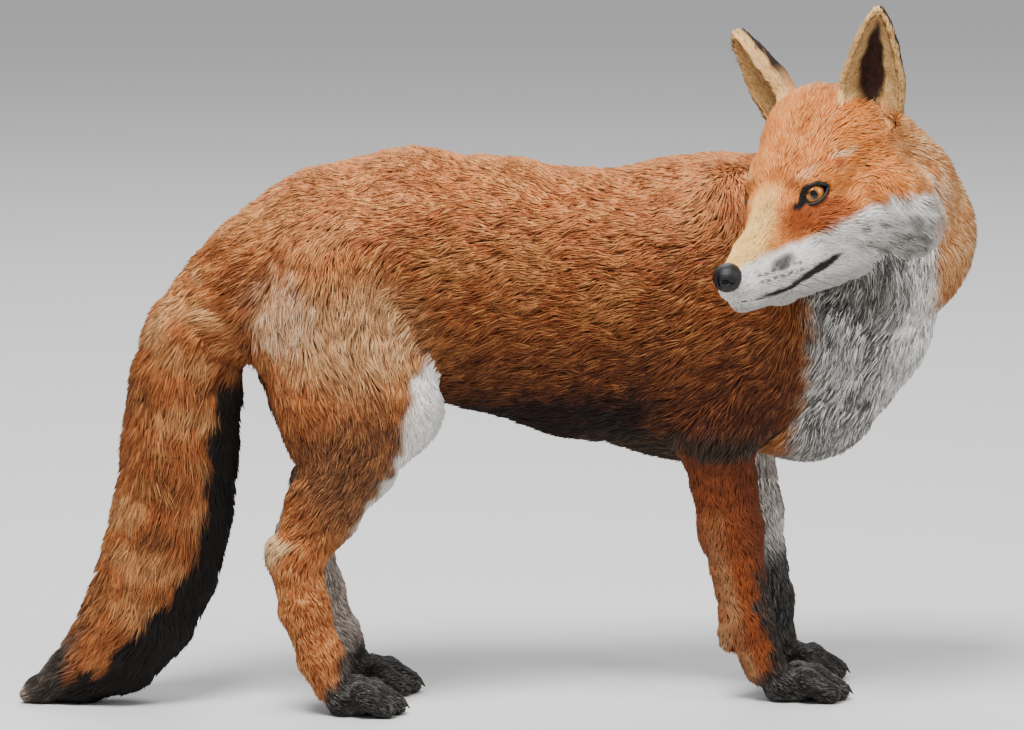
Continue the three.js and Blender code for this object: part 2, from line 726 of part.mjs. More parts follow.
piece("tail_middle", 11.5, at(-320, -70, 40), at(-150, 80, 200), (grow) =>
  tailReach(grow).intersect(beyond(at(-246, 0, 78), at(0.5, 0, 0.85), grow)),
);
piece("tail_tip", 10, at(-350, -70, -12), at(-150, 80, 140), (grow) => tailReach(grow));
for (const [word, side] of sides) {
  const y = side < 0 ? [-110, 12] : [-12, 110];
  piece(`thigh_${word}`, 12, at(-220, y[0], 160), at(-10, y[1], 360), (grow) =>
    plate(THIGH_OUTLINE, side * 6, side * 150, { grow }),
  );
  const [front, lead] = side < 0 ? [0, 0] : [FAR_FORE_LEAD, FAR_HIND_LEAD];
  piece(`shank_${word}`, 9, at(-200, y[0], 85), at(-20, y[1], 205), (grow) =>
    half(side, 102, 188, -173 + GAP, RUMP_CUT, 2, grow),
  );
  piece(`hock_${word}`, 8, at(-190, y[0], 15), at(-60 + lead, y[1], 120), (grow) =>
    half(side, 34, 102, -173 + GAP, RUMP_CUT, 2, grow),
  );
  piece(
    `hindpaw_${word}`,
    7.9,
    at(-160, y[0], -9),
    at(-50 + lead, y[1], 50),
    (grow) => half(side, -40, 34, -173 + GAP, RUMP_CUT, 2, grow),
    ["claw"],
  );
  piece(`shoulder_${word}`, 12, at(90, side < 0 ? -110 : 20, 180), at(235, side < 0 ? -20 : 110, 360), (grow) =>
    plate(SHOULDER_OUTLINE, side * 40, side * 150, { grow }),
  );
  piece(`elbow_${word}`, 12, at(90, y[0], 150), at(250, y[1], 220), (grow) =>
    half(side, 166, 205, 100, 206, 8, grow),
  );
  piece(`forearm_${word}`, 9, at(110, y[0], 20), at(240 + front, y[1], 190), (grow) =>
    half(side, 36, 166, CHEST_CUT, 300, 2, grow),
  );
  piece(
    `forepaw_${word}`,
    7.9,
    at(150, y[0], -9),
    at(260 + front, y[1], 52),
    (grow) => half(side, -40, 36, CHEST_CUT, 300, 2, grow),
    ["claw"],
  );
}
const slice = (from, to, grow) => block(at(from, -200, 100), at(to, 200, 500), grow);
piece("rump", 16, at(-240, -110, 160), at(-15, 110, 430), (grow) => slice(-400, RUMP_CUT, grow));
piece("belly", 16, at(-70, -110, 130), at(110, 110, 430), (grow) => slice(RUMP_CUT, CHEST_CUT, grow));
piece("chest", 16, at(50, -110, 130), at(330, 110, 430), (grow) => slice(CHEST_CUT, 400, grow));

// ---- Colours ----------------------------------------------------------------------------------
const finish = (color, roughness) => new THREE.MeshStandardMaterial({ color, roughness, metalness: 0 });
const looks = {
  red: finish(0xa95a2c, 0.85),
  tan: finish(0xc08a55, 0.85),
  grey: finish(0x8f8a84, 0.85),
  sooty: finish(0x2b241f, 0.8),
  cream: finish(0xd9c4a0, 0.85),
  leather: finish(0x17130f, 0.45),
  eye: finish(0x8a4f16, 0.1),
  claw: finish(0x2a2622, 0.4),
};
const LOOK_OF = [
  [/^ear/, "cream"],
  [/^(lower_jaw)/, "grey"],
  [/^(hindpaw|forepaw)/, "sooty"],
  [/^tail_tip/, "sooty"],
  [/^thigh/, "tan"],
  [/^claw/, "claw"],
  [/^eye/, "eye"],
  [/^nose/, "leather"],
  [/./, "red"],
];

// ---- Assembly ---------------------------------------------------------------------------------
const fox = new THREE.Group();
fox.name = "red_fox";
function add(name, solid) {
  const { vertProperties, triVerts, numProp } = solid.getMesh();
  const geometry = new THREE.BufferGeometry();
  const places = new Float32Array((vertProperties.length / numProp) * 3);
  for (let i = 0; i < places.length; i++) places[i] = vertProperties[Math.floor(i / 3) * numProp + (i % 3)];
  geometry.setAttribute("position", new THREE.BufferAttribute(places, 3));
  geometry.setIndex(new THREE.BufferAttribute(new Uint32Array(triVerts), 1));
  const mesh = new THREE.Mesh(geometry, looks[LOOK_OF.find(([pattern]) => pattern.test(name))[1]]);
  mesh.name = name;
  fox.add(mesh);
}

const floorUp = block(at(-500, -300, 0), at(500, 300, 700));
const extras = { claw: [], face: [] };
for (const [word, side] of sides) {
  add(`eye_${word}`, eyeball(side));
  extras.face.push(eyeball(side, GAP), lidSlot(side));
}
add("nose", noseLeather());
extras.face.push(noseLeather(GAP));
for (const [paw, [heel, length]] of Object.entries(pawHeels))
  TOES.forEach((place, n) => {
    add(`claw_${paw}_${n + 1}`, claw(heel, length, place));
    extras.claw.push(claw(heel, length, place, GAP));
  });

const taken = [];
for (const { name, cell, low, high, cutter, less } of pieces) {
  const ear = name.startsWith("ear") && ears.find((e) => e.side === (name.endsWith("left") ? 1 : -1));
  const whole = ear ? earSheet(ear) : surfaceNet(bodyWithin(low, high), low, high, cell).simplify(COARSENESS * cell);
  const box = new THREE.Box3(low, high);
  let solid = whole.intersect(cutter(0)).intersect(floorUp);
  for (const other of taken) if (other.box.intersectsBox(box)) solid = solid.subtract(other.cutter(GAP));
  for (const kind of less) for (const extra of extras[kind]) solid = solid.subtract(extra);
  const largest = solid.decompose().sort((a, b) => b.volume() - a.volume())[0];
  add(name, largest);
  taken.push({ cutter, box });
}

const bounds = new THREE.Box3().setFromObject(fox);
const middle = bounds.getCenter(at(0, 0, 0));
fox.position.set(-middle.x, -middle.y, 0);
fox.updateMatrixWorld(true);
export default fox;
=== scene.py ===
import math

import bmesh
import bpy
import numpy as np
from mathutils import Matrix, Vector


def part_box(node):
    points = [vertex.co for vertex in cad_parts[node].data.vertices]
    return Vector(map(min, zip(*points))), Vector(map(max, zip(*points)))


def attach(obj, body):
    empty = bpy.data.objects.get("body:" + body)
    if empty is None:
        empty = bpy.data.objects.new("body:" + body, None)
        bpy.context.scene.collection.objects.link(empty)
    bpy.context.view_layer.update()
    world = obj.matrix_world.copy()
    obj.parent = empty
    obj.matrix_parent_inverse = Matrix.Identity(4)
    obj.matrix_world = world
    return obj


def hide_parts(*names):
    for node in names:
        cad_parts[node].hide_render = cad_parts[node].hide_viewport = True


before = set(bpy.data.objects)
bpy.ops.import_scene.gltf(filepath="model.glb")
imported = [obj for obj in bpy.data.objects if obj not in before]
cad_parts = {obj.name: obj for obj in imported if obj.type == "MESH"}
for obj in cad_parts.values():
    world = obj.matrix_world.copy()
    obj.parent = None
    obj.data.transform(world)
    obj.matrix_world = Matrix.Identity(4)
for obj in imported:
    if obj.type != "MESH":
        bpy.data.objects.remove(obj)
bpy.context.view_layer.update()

# ---- The hide ----
# One unbroken skin over the whole animal, from nose to brush, lying inside the coat by the depth
# of the fur: a millimetre or two on the face and feet, six to nine on the body, neck and brush.
# It is a closed body with slots for the eyes, and carries the same markings as the hair on it, darkened
# partly as painted shade for lying under the coat.
SIDE = np.array([0.0, 1.0, 0.0])
HEAD_TURN = (math.radians(-139.5), math.radians(10.5), math.radians(5.5))
BETWEEN_EYES = np.array([181.5, -118.0, 369.5])
EYE_AT = np.array([3.0, 22.5, 0.0])
EYE_RADIUS = 11.0
GAZE = np.array([0.72, 0.68, 0.12])
HEAD = np.array(Matrix.Rotation(HEAD_TURN[0], 3, "Z") @ Matrix.Rotation(HEAD_TURN[1], 3, "Y")
                @ Matrix.Rotation(HEAD_TURN[2], 3, "X"))


def on_head(x, y, z):
    return HEAD @ np.array([x, y, z], float) + BETWEEN_EYES


def head_places(points):
    return (points - BETWEEN_EYES) @ HEAD


def eye_middle(side):
    return on_head(*(EYE_AT * [1, side, 1]))


# The model's own millimetres are measured from under the loin; the frame is centred on its box.
SHIFT = np.zeros(3)
for name, side in (("eye_left", 1), ("eye_right", -1)):
    low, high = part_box(name)
    SHIFT += 250.0 * (np.array(low) + np.array(high)) - 0.5 * eye_middle(side)

# A muscle is a tapered bar from a to b, with half thicknesses ra and rb out to the coat's tips. It
# is squeezed to wide across the body, and melts into its neighbours over blend. depth is how thick
# the coat is over it, hair how long its tufts are, lie +1 where they point from a to b and -1 where
# they point back, droop how much they hang, and part the piece of coat that it carries.
muscles = []


def muscle(a, b, ra, rb, wide=1.0, across=SIDE, blend=8.0, depth=8.0, hair=22.0, lie=1,
           part="flank", droop=0.0):
    a, b = np.array(a, float), np.array(b, float)
    way = (b - a) / np.linalg.norm(b - a) * lie + np.array([0.0, 0.0, -droop])
    reach = 1.3 * max(ra, rb) + 42.0
    muscles.append(
        dict(a=a, b=b, ra=ra, rb=rb, wide=wide, across=across, blend=blend, part=part,
             low=np.minimum(a, b) - reach, high=np.maximum(a, b) + reach,
             traits=np.concatenate([[depth, hair], way / np.linalg.norm(way)]))
    )


def chain(stations, **options):
    """Muscles end to end, from a list of places and half thicknesses."""
    for (a, ra), (b, rb) in zip(stations, stations[1:]):
        muscle(a, b, ra, rb, **options)


TRUNK = dict(lie=-1, droop=0.35, depth=6.0, hair=16.0)
RIBS = 106.0
LOIN = 88.0
chain([((-158, 0, 297), LOIN - 30), ((-116, 0, 303), LOIN - 10), ((-62, 0, 306), LOIN - 3)],
      wide=0.8, blend=10, part="rump", **TRUNK)
chain([((-62, 0, 306), LOIN - 3), ((0, 0, 295), LOIN), ((65, 0, 280), RIBS - 12)],
      wide=0.73, blend=10, part="flank", **TRUNK)
chain([((65, 0, 280), RIBS - 12), ((135, 0, 276), RIBS), ((178, 0, 280), RIBS - 4)],
      wide=72 / RIBS, blend=10, part="ribs", **TRUNK)
NECK = dict(lie=-1, droop=0.3, depth=8.0, hair=20.0, part="neck")
chain([((178, 0, 286), 92), ((236, -6, 300), 76)], wide=0.78, blend=18, **NECK)
chain([((236, -6, 300), 74), ((265, -34, 330), 64), ((257, -70, 358), 55)], wide=0.9, blend=14, **NECK)
chain([((243, 0, 264), 66), ((220, 0, 222), 57)], wide=0.85, blend=16, depth=9, hair=22, part="bib",
      droop=0.6)

STANCE = 40.0
FORE_LEAD = 32.0
HIND_LEAD = 24.0
for side, fore, hind in ((-1, 0.0, 0.0), (1, FORE_LEAD, HIND_LEAD)):
    foot = side * STANCE
    chain([((160, side * 30, 346), 30), ((205, side * 42, 268), 36),
           ((148 + 0.7 * fore, foot + side * 3, 194), 29)],
          blend=22, depth=5.5, hair=15, part="shoulder")
    chain([((147 + 0.9 * fore, foot + side * 3, 190), 27), ((157 + fore, foot + side, 125), 22),
           ((169 + fore, foot, 60), 18)], wide=0.86, blend=8, depth=3.0, hair=9, part="foreleg")
    chain([((169 + fore, foot, 60), 18), ((182 + 0.8 * fore, foot, 26), 15.5)],
          wide=0.86, blend=8, depth=2.2, hair=7, part="foreleg")
    muscle((158 + fore, foot, 50), (156 + fore, foot, 44), 9, 7, blend=7, depth=2.2, hair=7, part="foreleg")
    chain([((-118, side * 33, 302), 52), ((-84 + 0.2 * hind, foot + side * 2, 218), 36)],
          wide=0.72, blend=20, depth=6, hair=16, part="haunch")
    chain([((-150, side * 28, 278), 32), ((-131 + 0.3 * hind, foot, 208), 32)],
          wide=0.8, blend=20, depth=6, hair=17, part="haunch")
    chain([((-88 + 0.3 * hind, foot + side * 2, 218), 35), ((-113 + 0.4 * hind, foot + side, 182), 33),
           ((-131 + 0.6 * hind, foot, 148), 25), ((-150 + 0.8 * hind, foot, 114), 20)],
          wide=0.68, blend=12, depth=3.6, hair=11, part="hindleg")
    muscle((-146 + 0.8 * hind, foot, 122), (-162 + 0.8 * hind, foot, 119), 12, 9, blend=8, depth=2.6,
           hair=8, part="hindleg", droop=1.5)
    chain([((-151 + 0.8 * hind, foot, 110), 19), ((-145 + 0.9 * hind, foot, 76), 17),
           ((-134 + hind, foot, 42), 15.5), ((-126 + hind, foot, 24), 15)],
          wide=0.86, blend=8, depth=2.2, hair=7, part="hindleg")

SOLE = 1.5
TOE_GAP = 10.6
TOE_SPREAD = 1.06
OUTER_TOE_BACK = 9
PAWS = [(180.0, -STANCE, 62.0), (180 + 0.5 * FORE_LEAD, STANCE, 62.0), (-132.0, -STANCE, 57.0),
        (-132 + HIND_LEAD, STANCE, 57.0)]
toe_tips = []
for heel_x, heel_y, length in PAWS:
    ball = (heel_x + 0.42 * length, heel_y, 14.5 - SOLE)
    muscle((heel_x + 13, heel_y, 13 - SOLE), ball, 12.5, 14.5, wide=1.22, blend=6, depth=1.5, hair=5,
           part="paw")
    for place in (-1.5, -0.5, 0.5, 1.5):
        short = OUTER_TOE_BACK if abs(place) > 1 else 0
        tip = (heel_x + length - 8 - short, heel_y + place * TOE_GAP * TOE_SPREAD, 8.5 - SOLE)
        knuckle = (tip[0] - 0.25 * length, heel_y + place * TOE_GAP, 17 - SOLE)
        muscle(ball, knuckle, 9.5, 9.2, blend=4, depth=1.2, hair=4.5, part="paw")
        muscle(knuckle, tip, 9.2, 8.3, blend=2.5, depth=1.0, hair=3.6, part="paw")
        toe_tips.append(tip)

BRUSH = 41.0
TAIL_LINE = [((-166, 0, 300), 34), ((-190, 3, 287), 36), ((-210, 8, 264), 39), ((-219, 12, 234), BRUSH - 1),
             ((-224, 16, 190), BRUSH), ((-228, 20, 145), BRUSH + 1), ((-238, 26, 100), BRUSH + 1),
             ((-250, 31, 68), BRUSH - 1), ((-267, 36, 41), BRUSH - 6), ((-291, 40, 23), 24),
             ((-317, 42, 11), 12.5), ((-328, 42, 7), 7.5)]
chain(TAIL_LINE[:3], wide=0.95, blend=12, depth=8, hair=21, part="tail")
chain(TAIL_LINE[2:9], wide=0.95, blend=3, depth=9, hair=24, part="tail")
chain(TAIL_LINE[8:10], wide=0.95, blend=3, depth=6, hair=20, part="tail")
chain(TAIL_LINE[9:], wide=0.95, blend=3, depth=3.5, hair=11, part="tail")

ACROSS = HEAD @ SIDE
FACE = dict(lie=-1, depth=1.8, hair=5.5, part="face")
CROWN = dict(lie=-1, depth=3.2, hair=9.0, part="crown")
muscle(on_head(-78, 0, 2), on_head(-50, 0, 18), 44, 44, wide=1.08, across=ACROSS, blend=12, **CROWN)
muscle(on_head(-50, 0, 18), on_head(-14, 0, 5), 44, 33, wide=1.08, across=ACROSS, blend=8, **CROWN)
muscle(on_head(-16, 0, 2), on_head(10, 0, -12), 33, 24, wide=1.08, across=ACROSS, blend=10, **FACE)
muscle(on_head(8, 0, -19), on_head(46, 0, -31), 23, 17, wide=0.94, across=ACROSS, blend=14, **FACE)
muscle(on_head(46, 0, -31), on_head(72, 0, -39), 16.5, 12.5, across=ACROSS, blend=5, lie=-1, depth=1.1,
       hair=3.2, part="face")
for side in (-1, 1):
    muscle(on_head(-14, side * 26, 10), on_head(8, side * 19, 6), 10, 7, blend=10, **FACE)
    muscle(on_head(-56, side * 38, -26), on_head(2, side * 26, -22), 30, 14, blend=12, lie=-1, depth=4,
           hair=12, part="crown", droop=0.3)
    muscle(on_head(-66, side * 50, -42), on_head(-48, side * 42, -14), 20, 27, blend=12, lie=-1, depth=6,
           hair=17, part="crown", droop=0.5)
    muscle(on_head(-12, side * 20, -38), on_head(40, side * 12, -45), 16, 12, blend=14, **FACE)
    muscle(on_head(40, side * 12, -45), on_head(72, side * 7, -47.5), 12, 8.5, blend=8, lie=-1, depth=1.1,
           hair=3.2, part="face")
muscle(on_head(-40, 0, -50), on_head(30, 0, -57), 25, 14, wide=1.2, across=ACROSS, blend=6,
       lie=-1, depth=2.6, hair=8, part="face")
muscle(on_head(30, 0, -57), on_head(71, 0, -56.5), 13, 8, wide=1.1, across=ACROSS, blend=4,
       lie=-1, depth=1.1, hair=3.5, part="face")

EAR_WIDE = 25.0
EAR_CURL = 19.0
EAR_THICK = 4.2
EAR_BLEND = 7.0
EAR_COAT = 1.4
EAR_HAIR = 4.6
ears = []
for side, base, tip, facing in (
    (1, on_head(-54, 38, 36), on_head(-57, 61, 115), HEAD @ np.array([0.86, 0.5, 0.1])),
    (-1, on_head(-56, -37, 36), on_head(-52, -64, 104), HEAD @ np.array([0.86, -0.5, 0.1])),
):
    up = (tip - base) / np.linalg.norm(tip - base)
    front = facing - up * (facing @ up)
    front /= np.linalg.norm(front)
    ears.append(dict(side=side, base=base, up=up, front=front, beside=np.cross(up, front),
                     length=np.linalg.norm(tip - base) - EAR_THICK))


def ear_places(points, ear):
    """Height up the ear, place across it and distance through its curled sheet."""
    q = points - ear["base"]
    height = q @ ear["up"]
    h = np.clip(height, -8.0, ear["length"])
    root = np.clip((h + 8) / 38, 0, 1)
    half = EAR_WIDE * np.maximum(1 - np.maximum(h, 0) / ear["length"], 0.001) ** 0.6 * (0.66 + 0.34 * root)
    s = q @ ear["beside"]
    along = np.clip(s / half, -1, 1)
    slope = 2 * EAR_CURL / EAR_WIDE * along
    through = (q @ ear["front"] + EAR_CURL * half / EAR_WIDE * (1 - along**2)) / np.hypot(1, slope)
    beside = np.abs(s) - np.abs(along) * half
    return height, along, through, np.sqrt(through**2 + beside**2 + (height - h) ** 2) - EAR_THICK


def coat_distance(points, traits=False):
    """Distance outside the coat's tips, and on request the coat's depth, hair and lie there."""
    far = np.full(len(points), 1e3)
    weight = np.full(len(points), 1e-9)
    blend = np.zeros((len(points), 5))
    best = np.full(len(points), 1e3)
    owner = np.zeros(len(points), int)
    for number, m in enumerate(muscles):
        near = np.flatnonzero(((points > m["low"]) & (points < m["high"])).all(axis=1))
        if not near.size:
            continue
        axis = m["b"] - m["a"]
        q = points[near] - m["a"]
        t = np.clip(q @ axis / (axis @ axis), 0, 1)
        q = q - t[:, None] * axis
        plain = np.sqrt((q * q).sum(axis=1))
        q = q + ((q @ m["across"]) * (1 / m["wide"] - 1))[:, None] * m["across"]
        squeezed = np.sqrt((q * q).sum(axis=1)) + 1e-6
        d = (squeezed - m["ra"] - (m["rb"] - m["ra"]) * t) * (plain + 1e-6) / squeezed
        h = np.maximum(m["blend"] - np.abs(far[near] - d), 0) / m["blend"]
        far[near] = np.minimum(far[near], d) - h * h * m["blend"] / 4
        if traits:
            w = np.exp(-np.clip(d, -30, 60) / 5.0)
            weight[near] += w
            blend[near] += w[:, None] * m["traits"]
            closer = d < best[near]
            owner[near[closer]] = number
            best[near[closer]] = d[closer]
    for ear in ears:
        near = np.flatnonzero(np.linalg.norm(points - ear["base"] - 40 * ear["up"], axis=1) < 95)
        if not near.size:
            continue
        height, along, through, d = ear_places(points[near], ear)
        h = np.maximum(EAR_BLEND - np.abs(far[near] - d), 0) / EAR_BLEND
        far[near] = np.minimum(far[near], d) - h * h * EAR_BLEND / 4
        if traits:
            w = 4 * np.exp(-np.clip(d, -30, 60) / 2.5) * np.clip((height - 4) / 14, 0, 1)
            weight[near] += w
            blend[near] += w[:, None] * np.concatenate([[EAR_COAT, EAR_HAIR], ear["up"]])
            closer = (d < best[near]) & (height > 10)
            owner[near[closer]] = -1 if ear["side"] < 0 else -2
            best[near[closer]] = d[closer]
    if traits:
        return far, blend / weight[:, None], owner
    return far


# Each eye looks out of an almond slot that slants up to its outer corner, its lower half flatter.
LID = 1.5
LID_BLEND = 5
LOWER_LID = 0.86
LID_SLANT = math.radians(18)
SLOT_LONG = 11.0
SLOT_HIGH = 6.8
eyes = []
for side in (-1, 1):
    gaze = HEAD @ (GAZE * [1, side, 1])
    gaze /= np.linalg.norm(gaze)
    crown = HEAD @ np.array([0.0, 0.0, 1.0])
    outward = np.cross(crown, gaze) * side
    outward /= np.linalg.norm(outward)
    outward = outward * math.cos(LID_SLANT) + crown * math.sin(LID_SLANT)
    outward -= gaze * (outward @ gaze)
    outward /= np.linalg.norm(outward)
    over = np.cross(gaze, outward) * side
    eyes.append(dict(side=side, at=eye_middle(side), gaze=gaze, outward=outward, over=over))


def eye_places(points, eye):
    """Place along the eye's slot, over it and out along the gaze, and distance inside its almond."""
    q = points - eye["at"]
    along, over, out = q @ eye["outward"], q @ eye["over"], q @ eye["gaze"]
    reach = np.clip(1 - (along / SLOT_LONG) ** 2, 0, 1)
    edge = np.where(over > 0, SLOT_HIGH, LOWER_LID * SLOT_HIGH) * reach**0.8
    inside = np.minimum((edge - np.abs(over)) * 0.85, (SLOT_LONG - np.abs(along)) * 0.9)
    return along, over, out, inside


def skin_distance(points):
    """Distance outside the hide: under the coat by its depth, swollen at the lids, cut at the eyes."""
    far, traits, owner = coat_distance(points, traits=True)
    d = far + traits[:, 0]
    for eye in eyes:
        near = np.flatnonzero(np.linalg.norm(points - eye["at"], axis=1) < 30)
        if near.size:
            along, over, out, inside = eye_places(points[near], eye)
            ball = np.linalg.norm(points[near] - eye["at"], axis=1) - EYE_RADIUS - LID
            h = np.maximum(LID_BLEND - np.abs(d[near] - ball), 0) / LID_BLEND
            lids = np.minimum(d[near], ball) - h * h * LID_BLEND / 4
            d[near] = np.maximum(lids, np.where(out > 0, inside, -5.0))
    return d


def slopes(distance, points, step=0.35):
    """The distance at each point and which way it grows."""
    here = distance(points)
    grad = np.stack([(distance(points + step * e) - here) / step for e in np.eye(3)], axis=1)
    return here, grad


def surface_net(distance, low, high, cell):
    """One vertex in each cell that the surface crosses, in four rounds from coarse to fine."""
    scale = 8
    size = np.ceil((high - low) / (cell * scale)).astype(int)
    blocks = np.stack(np.meshgrid(*[np.arange(n) for n in size], indexing="ij"), axis=-1).reshape(-1, 3)
    while True:
        middle = low + (blocks + 0.5) * cell * scale
        blocks = blocks[np.abs(distance(middle)) < 1.15 * scale * cell + (3.0 if scale > 2 else 0.6)]
        if scale == 1:
            break
        corners = np.stack(np.meshgrid([0, 1], [0, 1], [0, 1], indexing="ij"), axis=-1).reshape(-1, 3)
        blocks = (2 * blocks[:, None, :] + corners[None]).reshape(-1, 3)
        scale //= 2
    corners = np.array([[i & 1, (i >> 1) & 1, i >> 2] for i in range(8)])
    span = 8 * size + 2

    def key(ijk):
        return (ijk[..., 0] * span[1] + ijk[..., 1]) * span[2] + ijk[..., 2]

    node_keys, where = np.unique(key(blocks[:, None, :] + corners[None]).ravel(), return_inverse=True)
    ijk = np.stack([node_keys // (span[1] * span[2]), node_keys // span[2] % span[1],
                    node_keys % span[2]], axis=1)
    values = distance(low + ijk * cell)[where].reshape(-1, 8)
    crossed = (values < 0).any(axis=1) & (values >= 0).any(axis=1)
    blocks, values = blocks[crossed], values[crossed]
    total, count = np.zeros((len(blocks), 3)), np.zeros(len(blocks))
    for a in range(8):
        for bit in (1, 2, 4):
            b = a | bit
            if b == a:
                continue
            cut = (values[:, a] < 0) != (values[:, b] < 0)
            t = np.where(cut, values[:, a] / np.where(cut, values[:, a] - values[:, b], 1), 0)
            total += np.where(cut[:, None], corners[a] + t[:, None] * (corners[b] - corners[a]), 0)
            count += cut
    points = low + (blocks + total / count[:, None]) * cell
    order = np.argsort(key(blocks))
    sorted_keys = key(blocks)[order]
    quads = []
    for axis in range(3):
        u, v = np.eye(3, dtype=int)[(axis + 1) % 3], np.eye(3, dtype=int)[(axis + 2) % 3]
        inside = values[:, 0] < 0
        cut = inside != (values[:, 1 << axis] < 0)
        ring = [blocks[cut] - s * u - t * v for s, t in ((0, 0), (1, 0), (1, 1), (0, 1))]
        found = np.stack([np.searchsorted(sorted_keys, key(r)) for r in ring], axis=1)
        found = np.minimum(found, len(order) - 1)
        good = np.all([sorted_keys[found[:, n]] == key(ring[n]) for n in range(4)], axis=0)
        quad = order[found[good]]
        quads.append(np.where(inside[cut][good][:, None], quad, quad[:, ::-1]))
    return points, np.concatenate(quads)


def settle(distance, points):
    """Moves each point straight onto the surface where the distance is nothing."""
    value, grad = slopes(distance, points)
    return points - np.clip(value / np.maximum((grad**2).sum(axis=1), 0.3), -2, 2)[:, None] * grad


def refined(points, faces, inside):
    """Splits every edge whose two ends are inside, and lays the new corners on the skin."""
    bm = bmesh.new()
    verts = [bm.verts.new(p) for p in points]
    for face in faces:
        bm.faces.new([verts[i] for i in face])
    keep = inside(points)
    bm.verts.index_update()
    edges = [e for e in bm.edges if keep[e.verts[0].index] and keep[e.verts[1].index]]
    bmesh.ops.subdivide_edges(bm, edges=edges, cuts=1, use_grid_fill=True)
    new = np.array([v.co[:] for v in bm.verts])
    near = np.flatnonzero(inside(new))
    new[near] = settle(skin_distance, new[near])
    bm.verts.index_update()
    faces = [[v.index for v in f.verts] for f in bm.faces]
    bm.free()
    return new, faces


def on_face(points):
    q = head_places(points)
    return (q[:, 0] > -45) & (q[:, 2] > -85) & (q[:, 2] < 30) & (np.abs(q[:, 1]) < 42)


def round_eyes(points):
    return np.min([np.linalg.norm(points - eye["at"], axis=1) for eye in eyes], axis=0) < EYE_RADIUS + 7


CELL = 3.3
LOWEST, HIGHEST = np.array([-345.0, -225, -3]), np.array([350.0, 105, 500])
points, quads = surface_net(skin_distance, LOWEST, HIGHEST, CELL)
points = settle(skin_distance, points)
points, quads = refined(points, quads, on_face)
points, quads = refined(points, quads, round_eyes)
points[:, 2] = np.maximum(points[:, 2], 0.0)


def paint(red, green, blue):
    """A shade from its three parts out of 255, as light."""
    return (np.array([red, green, blue]) / 255.0) ** 2.2


def rise(value, low, high):
    """Nothing below low, one above high, and a smooth slope between."""
    t = np.clip((value - low) / (high - low), 0, 1)
    return t * t * (3 - 2 * t)


def waves(points, size, seed):
    """Smooth noise round zero, mostly within one, with bumps about half of size across."""
    rng = np.random.default_rng(seed)
    ways = rng.normal(size=(3, 12))
    ways *= 2 * math.pi / size * rng.uniform(0.6, 1.5, 12) / np.linalg.norm(ways, axis=0)
    return np.sin(points @ ways + rng.uniform(0, 2 * math.pi, 12)).sum(axis=1) / 3.5


def oval(u, v, at, reach, full, none):
    """One within an oval patch, falling to nothing at its edge."""
    return 1 - rise(np.hypot((u - at[0]) / reach[0], (v - at[1]) / reach[1]), full, none)


PARTS = np.array([m["part"] for m in muscles] + ["ear", "ear"])
MUSCLE_AT = np.array([m["a"] for m in muscles] + [[0.0, 0, 0]] * 2)
MUSCLE_WAY = np.array([m["b"] - m["a"] for m in muscles] + [[0.0, 0, 1.0]] * 2)
MUSCLE_WAY /= np.linalg.norm(MUSCLE_WAY, axis=1)[:, None]

RED_BACK = paint(202, 116, 62)
FLANK = paint(164, 86, 38)
GOLD = paint(220, 164, 104)
RUST_DARK = paint(96, 48, 22)
UMBER = paint(96, 46, 18)
BUFF = paint(208, 156, 104)
CREAM = paint(226, 196, 152)
WHITE = paint(238, 234, 228)
GREY = paint(150, 146, 140)
DARK_GREY = paint(74, 70, 66)
BLACK = paint(28, 24, 22)
LEG = paint(166, 92, 44)
NAPE = paint(208, 132, 64)
FOREHEAD = paint(204, 112, 36)
MUZZLE_TOP = paint(238, 184, 98)
TAIL = paint(172, 96, 48)
BROWN = paint(122, 80, 56)
HOCK = paint(188, 106, 54)
RUST = paint(150, 74, 32)
EAR_BUFF = paint(214, 168, 104)
EAR_DARK = paint(52, 34, 28)
# The places of the whiskers along the muzzle in two rows, and of the mouth's edge along and up.
WHISKERS = (66.0, 60.5, 55.0, 49.5, 44.0, 38.5, 33.0)
WHISKER_ROW = -40.0
WHISKER_ROW_GAP = 4.5
MOUTH_X = [-2.0, 18.0, 50.0, 76.0, 84.0]
MOUTH_Z = [-46.0, -52.0, -58.5, -55.0, -54.0]


